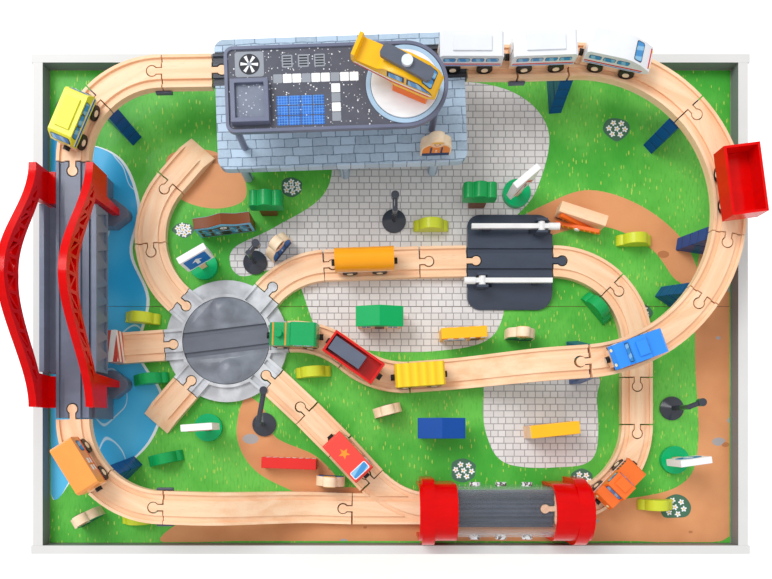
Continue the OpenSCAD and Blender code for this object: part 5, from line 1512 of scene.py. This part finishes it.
class TRAINTABLE_OT_stage(bpy.types.Operator):
    """Sets the floor, the light and the camera"""
    bl_idname = "train_table.stage"
    bl_label = "Stage"

    def execute(self, context):
        scene = context.scene
        self.lay_floor(scene)
        self.light(scene)
        self.set_camera(scene)
        scene.view_settings.view_transform = "Standard"
        return {"FINISHED"}

    def lay_floor(self, scene):
        """White paper that glows a little where the camera sees it."""
        bm = bmesh.new()
        bmesh.ops.create_grid(bm, x_segments=8, y_segments=8, size=6.0)
        mesh = bpy.data.meshes.new("studio_floor")
        bm.to_mesh(mesh)
        bm.free()
        floor = bpy.data.objects.new("studio_floor", mesh)
        scene.collection.objects.link(floor)
        look = Finish("floor_paper")
        path = look.node("ShaderNodeLightPath").socket.node
        camera, glossy, through = (Value(look.tree, path.outputs[f"Is {ray} Ray"])
                                   for ray in ("Camera", "Glossy", "Transmission"))
        shown = camera.largest(glossy).largest(through)
        dust = look.noise(look.spot(), 30.0, 2.0)
        tone = look.mix(dust, rgb(236, 236, 236), rgb(244, 244, 244))
        paper = look.node("ShaderNodeBsdfDiffuse", None, {"Color": tone})
        glow = look.node("ShaderNodeEmission", None, {"Color": (1, 1, 1, 1), "Strength": shown * 0.45})
        both = look.node("ShaderNodeAddShader", None, {0: paper, 1: glow})
        look.node("ShaderNodeOutputMaterial", None, {"Surface": both})
        mesh.materials.append(look.material)

    def light(self, scene):
        """A white room, a soft sun and a soft panel."""
        world = bpy.data.worlds.new("soft_studio")
        world.use_nodes = True
        tree = world.node_tree
        tree.nodes.clear()
        sky = tree.nodes.new("ShaderNodeBackground")
        sky.inputs["Color"].default_value = (1.0, 1.0, 1.0, 1.0)
        light_path = tree.nodes.new("ShaderNodeLightPath")
        ray = Value(tree, light_path.outputs["Is Camera Ray"])
        tree.links.new((ray * 0.2 + 0.8).socket, sky.inputs["Strength"])
        out = tree.nodes.new("ShaderNodeOutputWorld")
        tree.links.new(sky.outputs[0], out.inputs[0])
        scene.world = world
        key = bpy.data.lights.new("key_light", "SUN")
        key.energy = 0.98
        key.angle = math.radians(28)
        sun = bpy.data.objects.new("key_light", key)
        sun.rotation_euler = (math.radians(-24), math.radians(-30), 0)
        scene.collection.objects.link(sun)
        panel = bpy.data.lights.new("soft_panel", "AREA")
        panel.energy = 9.0
        panel.size = 0.9
        box = bpy.data.objects.new("soft_panel", panel)
        box.location = (-0.9, 0.9, 1.9)
        toward = Vector((0, 0, 0.42)) - box.location
        box.rotation_euler = toward.to_track_quat("-Z", "Y").to_euler()
        scene.collection.objects.link(box)

    def set_camera(self, scene):
        """Straight down from above the front edge, shifted to frame the table."""
        camera = bpy.data.cameras.new("camera")
        camera.sensor_width = 36.0
        camera.lens = sizes().focal
        camera.shift_x = 0.0155
        camera.shift_y = 0.1858
        camera.clip_end = 100.0
        eye = bpy.data.objects.new("camera", camera)
        eye.location = (-0.021, -0.165, sizes().camera_height)
        scene.collection.objects.link(eye)
        scene.camera = eye


OPERATORS = (TRAINTABLE_OT_stage, TRAINTABLE_OT_frame, TRAINTABLE_OT_boards, TRAINTABLE_OT_track,
             TRAINTABLE_OT_bridge, TRAINTABLE_OT_station, TRAINTABLE_OT_helicopter, TRAINTABLE_OT_turntable,
             TRAINTABLE_OT_crossing, TRAINTABLE_OT_tunnel, TRAINTABLE_OT_single_vehicles,
             TRAINTABLE_OT_passenger_train, TRAINTABLE_OT_goods_train, TRAINTABLE_OT_greenery,
             TRAINTABLE_OT_signs, TRAINTABLE_OT_houses, TRAINTABLE_OT_figures)


class TRAINTABLE_PT_panel(bpy.types.Panel):
    """Lists the table's settings and pieces"""
    bl_label = "Train Table"
    bl_idname = "TRAINTABLE_PT_panel"
    bl_space_type = "VIEW_3D"
    bl_region_type = "UI"
    bl_category = "Train Table"

    def draw(self, context):
        column = self.layout.column()
        for group in (context.scene.train_table_colours, context.scene.train_table_sizes):
            for name in group.__annotations__:
                column.prop(group, name)
        for operator in OPERATORS:
            column.operator(operator.bl_idname)


CLASSES = (TrainTableColours, TrainTableSizes) + OPERATORS + (TRAINTABLE_PT_panel,)


def register():
    for item in CLASSES:
        bpy.utils.register_class(item)
    bpy.types.Scene.train_table_colours = bpy.props.PointerProperty(type=TrainTableColours)
    bpy.types.Scene.train_table_sizes = bpy.props.PointerProperty(type=TrainTableSizes)


def unregister():
    del bpy.types.Scene.train_table_sizes
    del bpy.types.Scene.train_table_colours
    for item in reversed(CLASSES):
        bpy.utils.unregister_class(item)


def main():
    register()
    for operator in OPERATORS:
        family, name = operator.bl_idname.split(".")
        getattr(getattr(bpy.ops, family), name)()


if __name__ == "__main__":
    main()
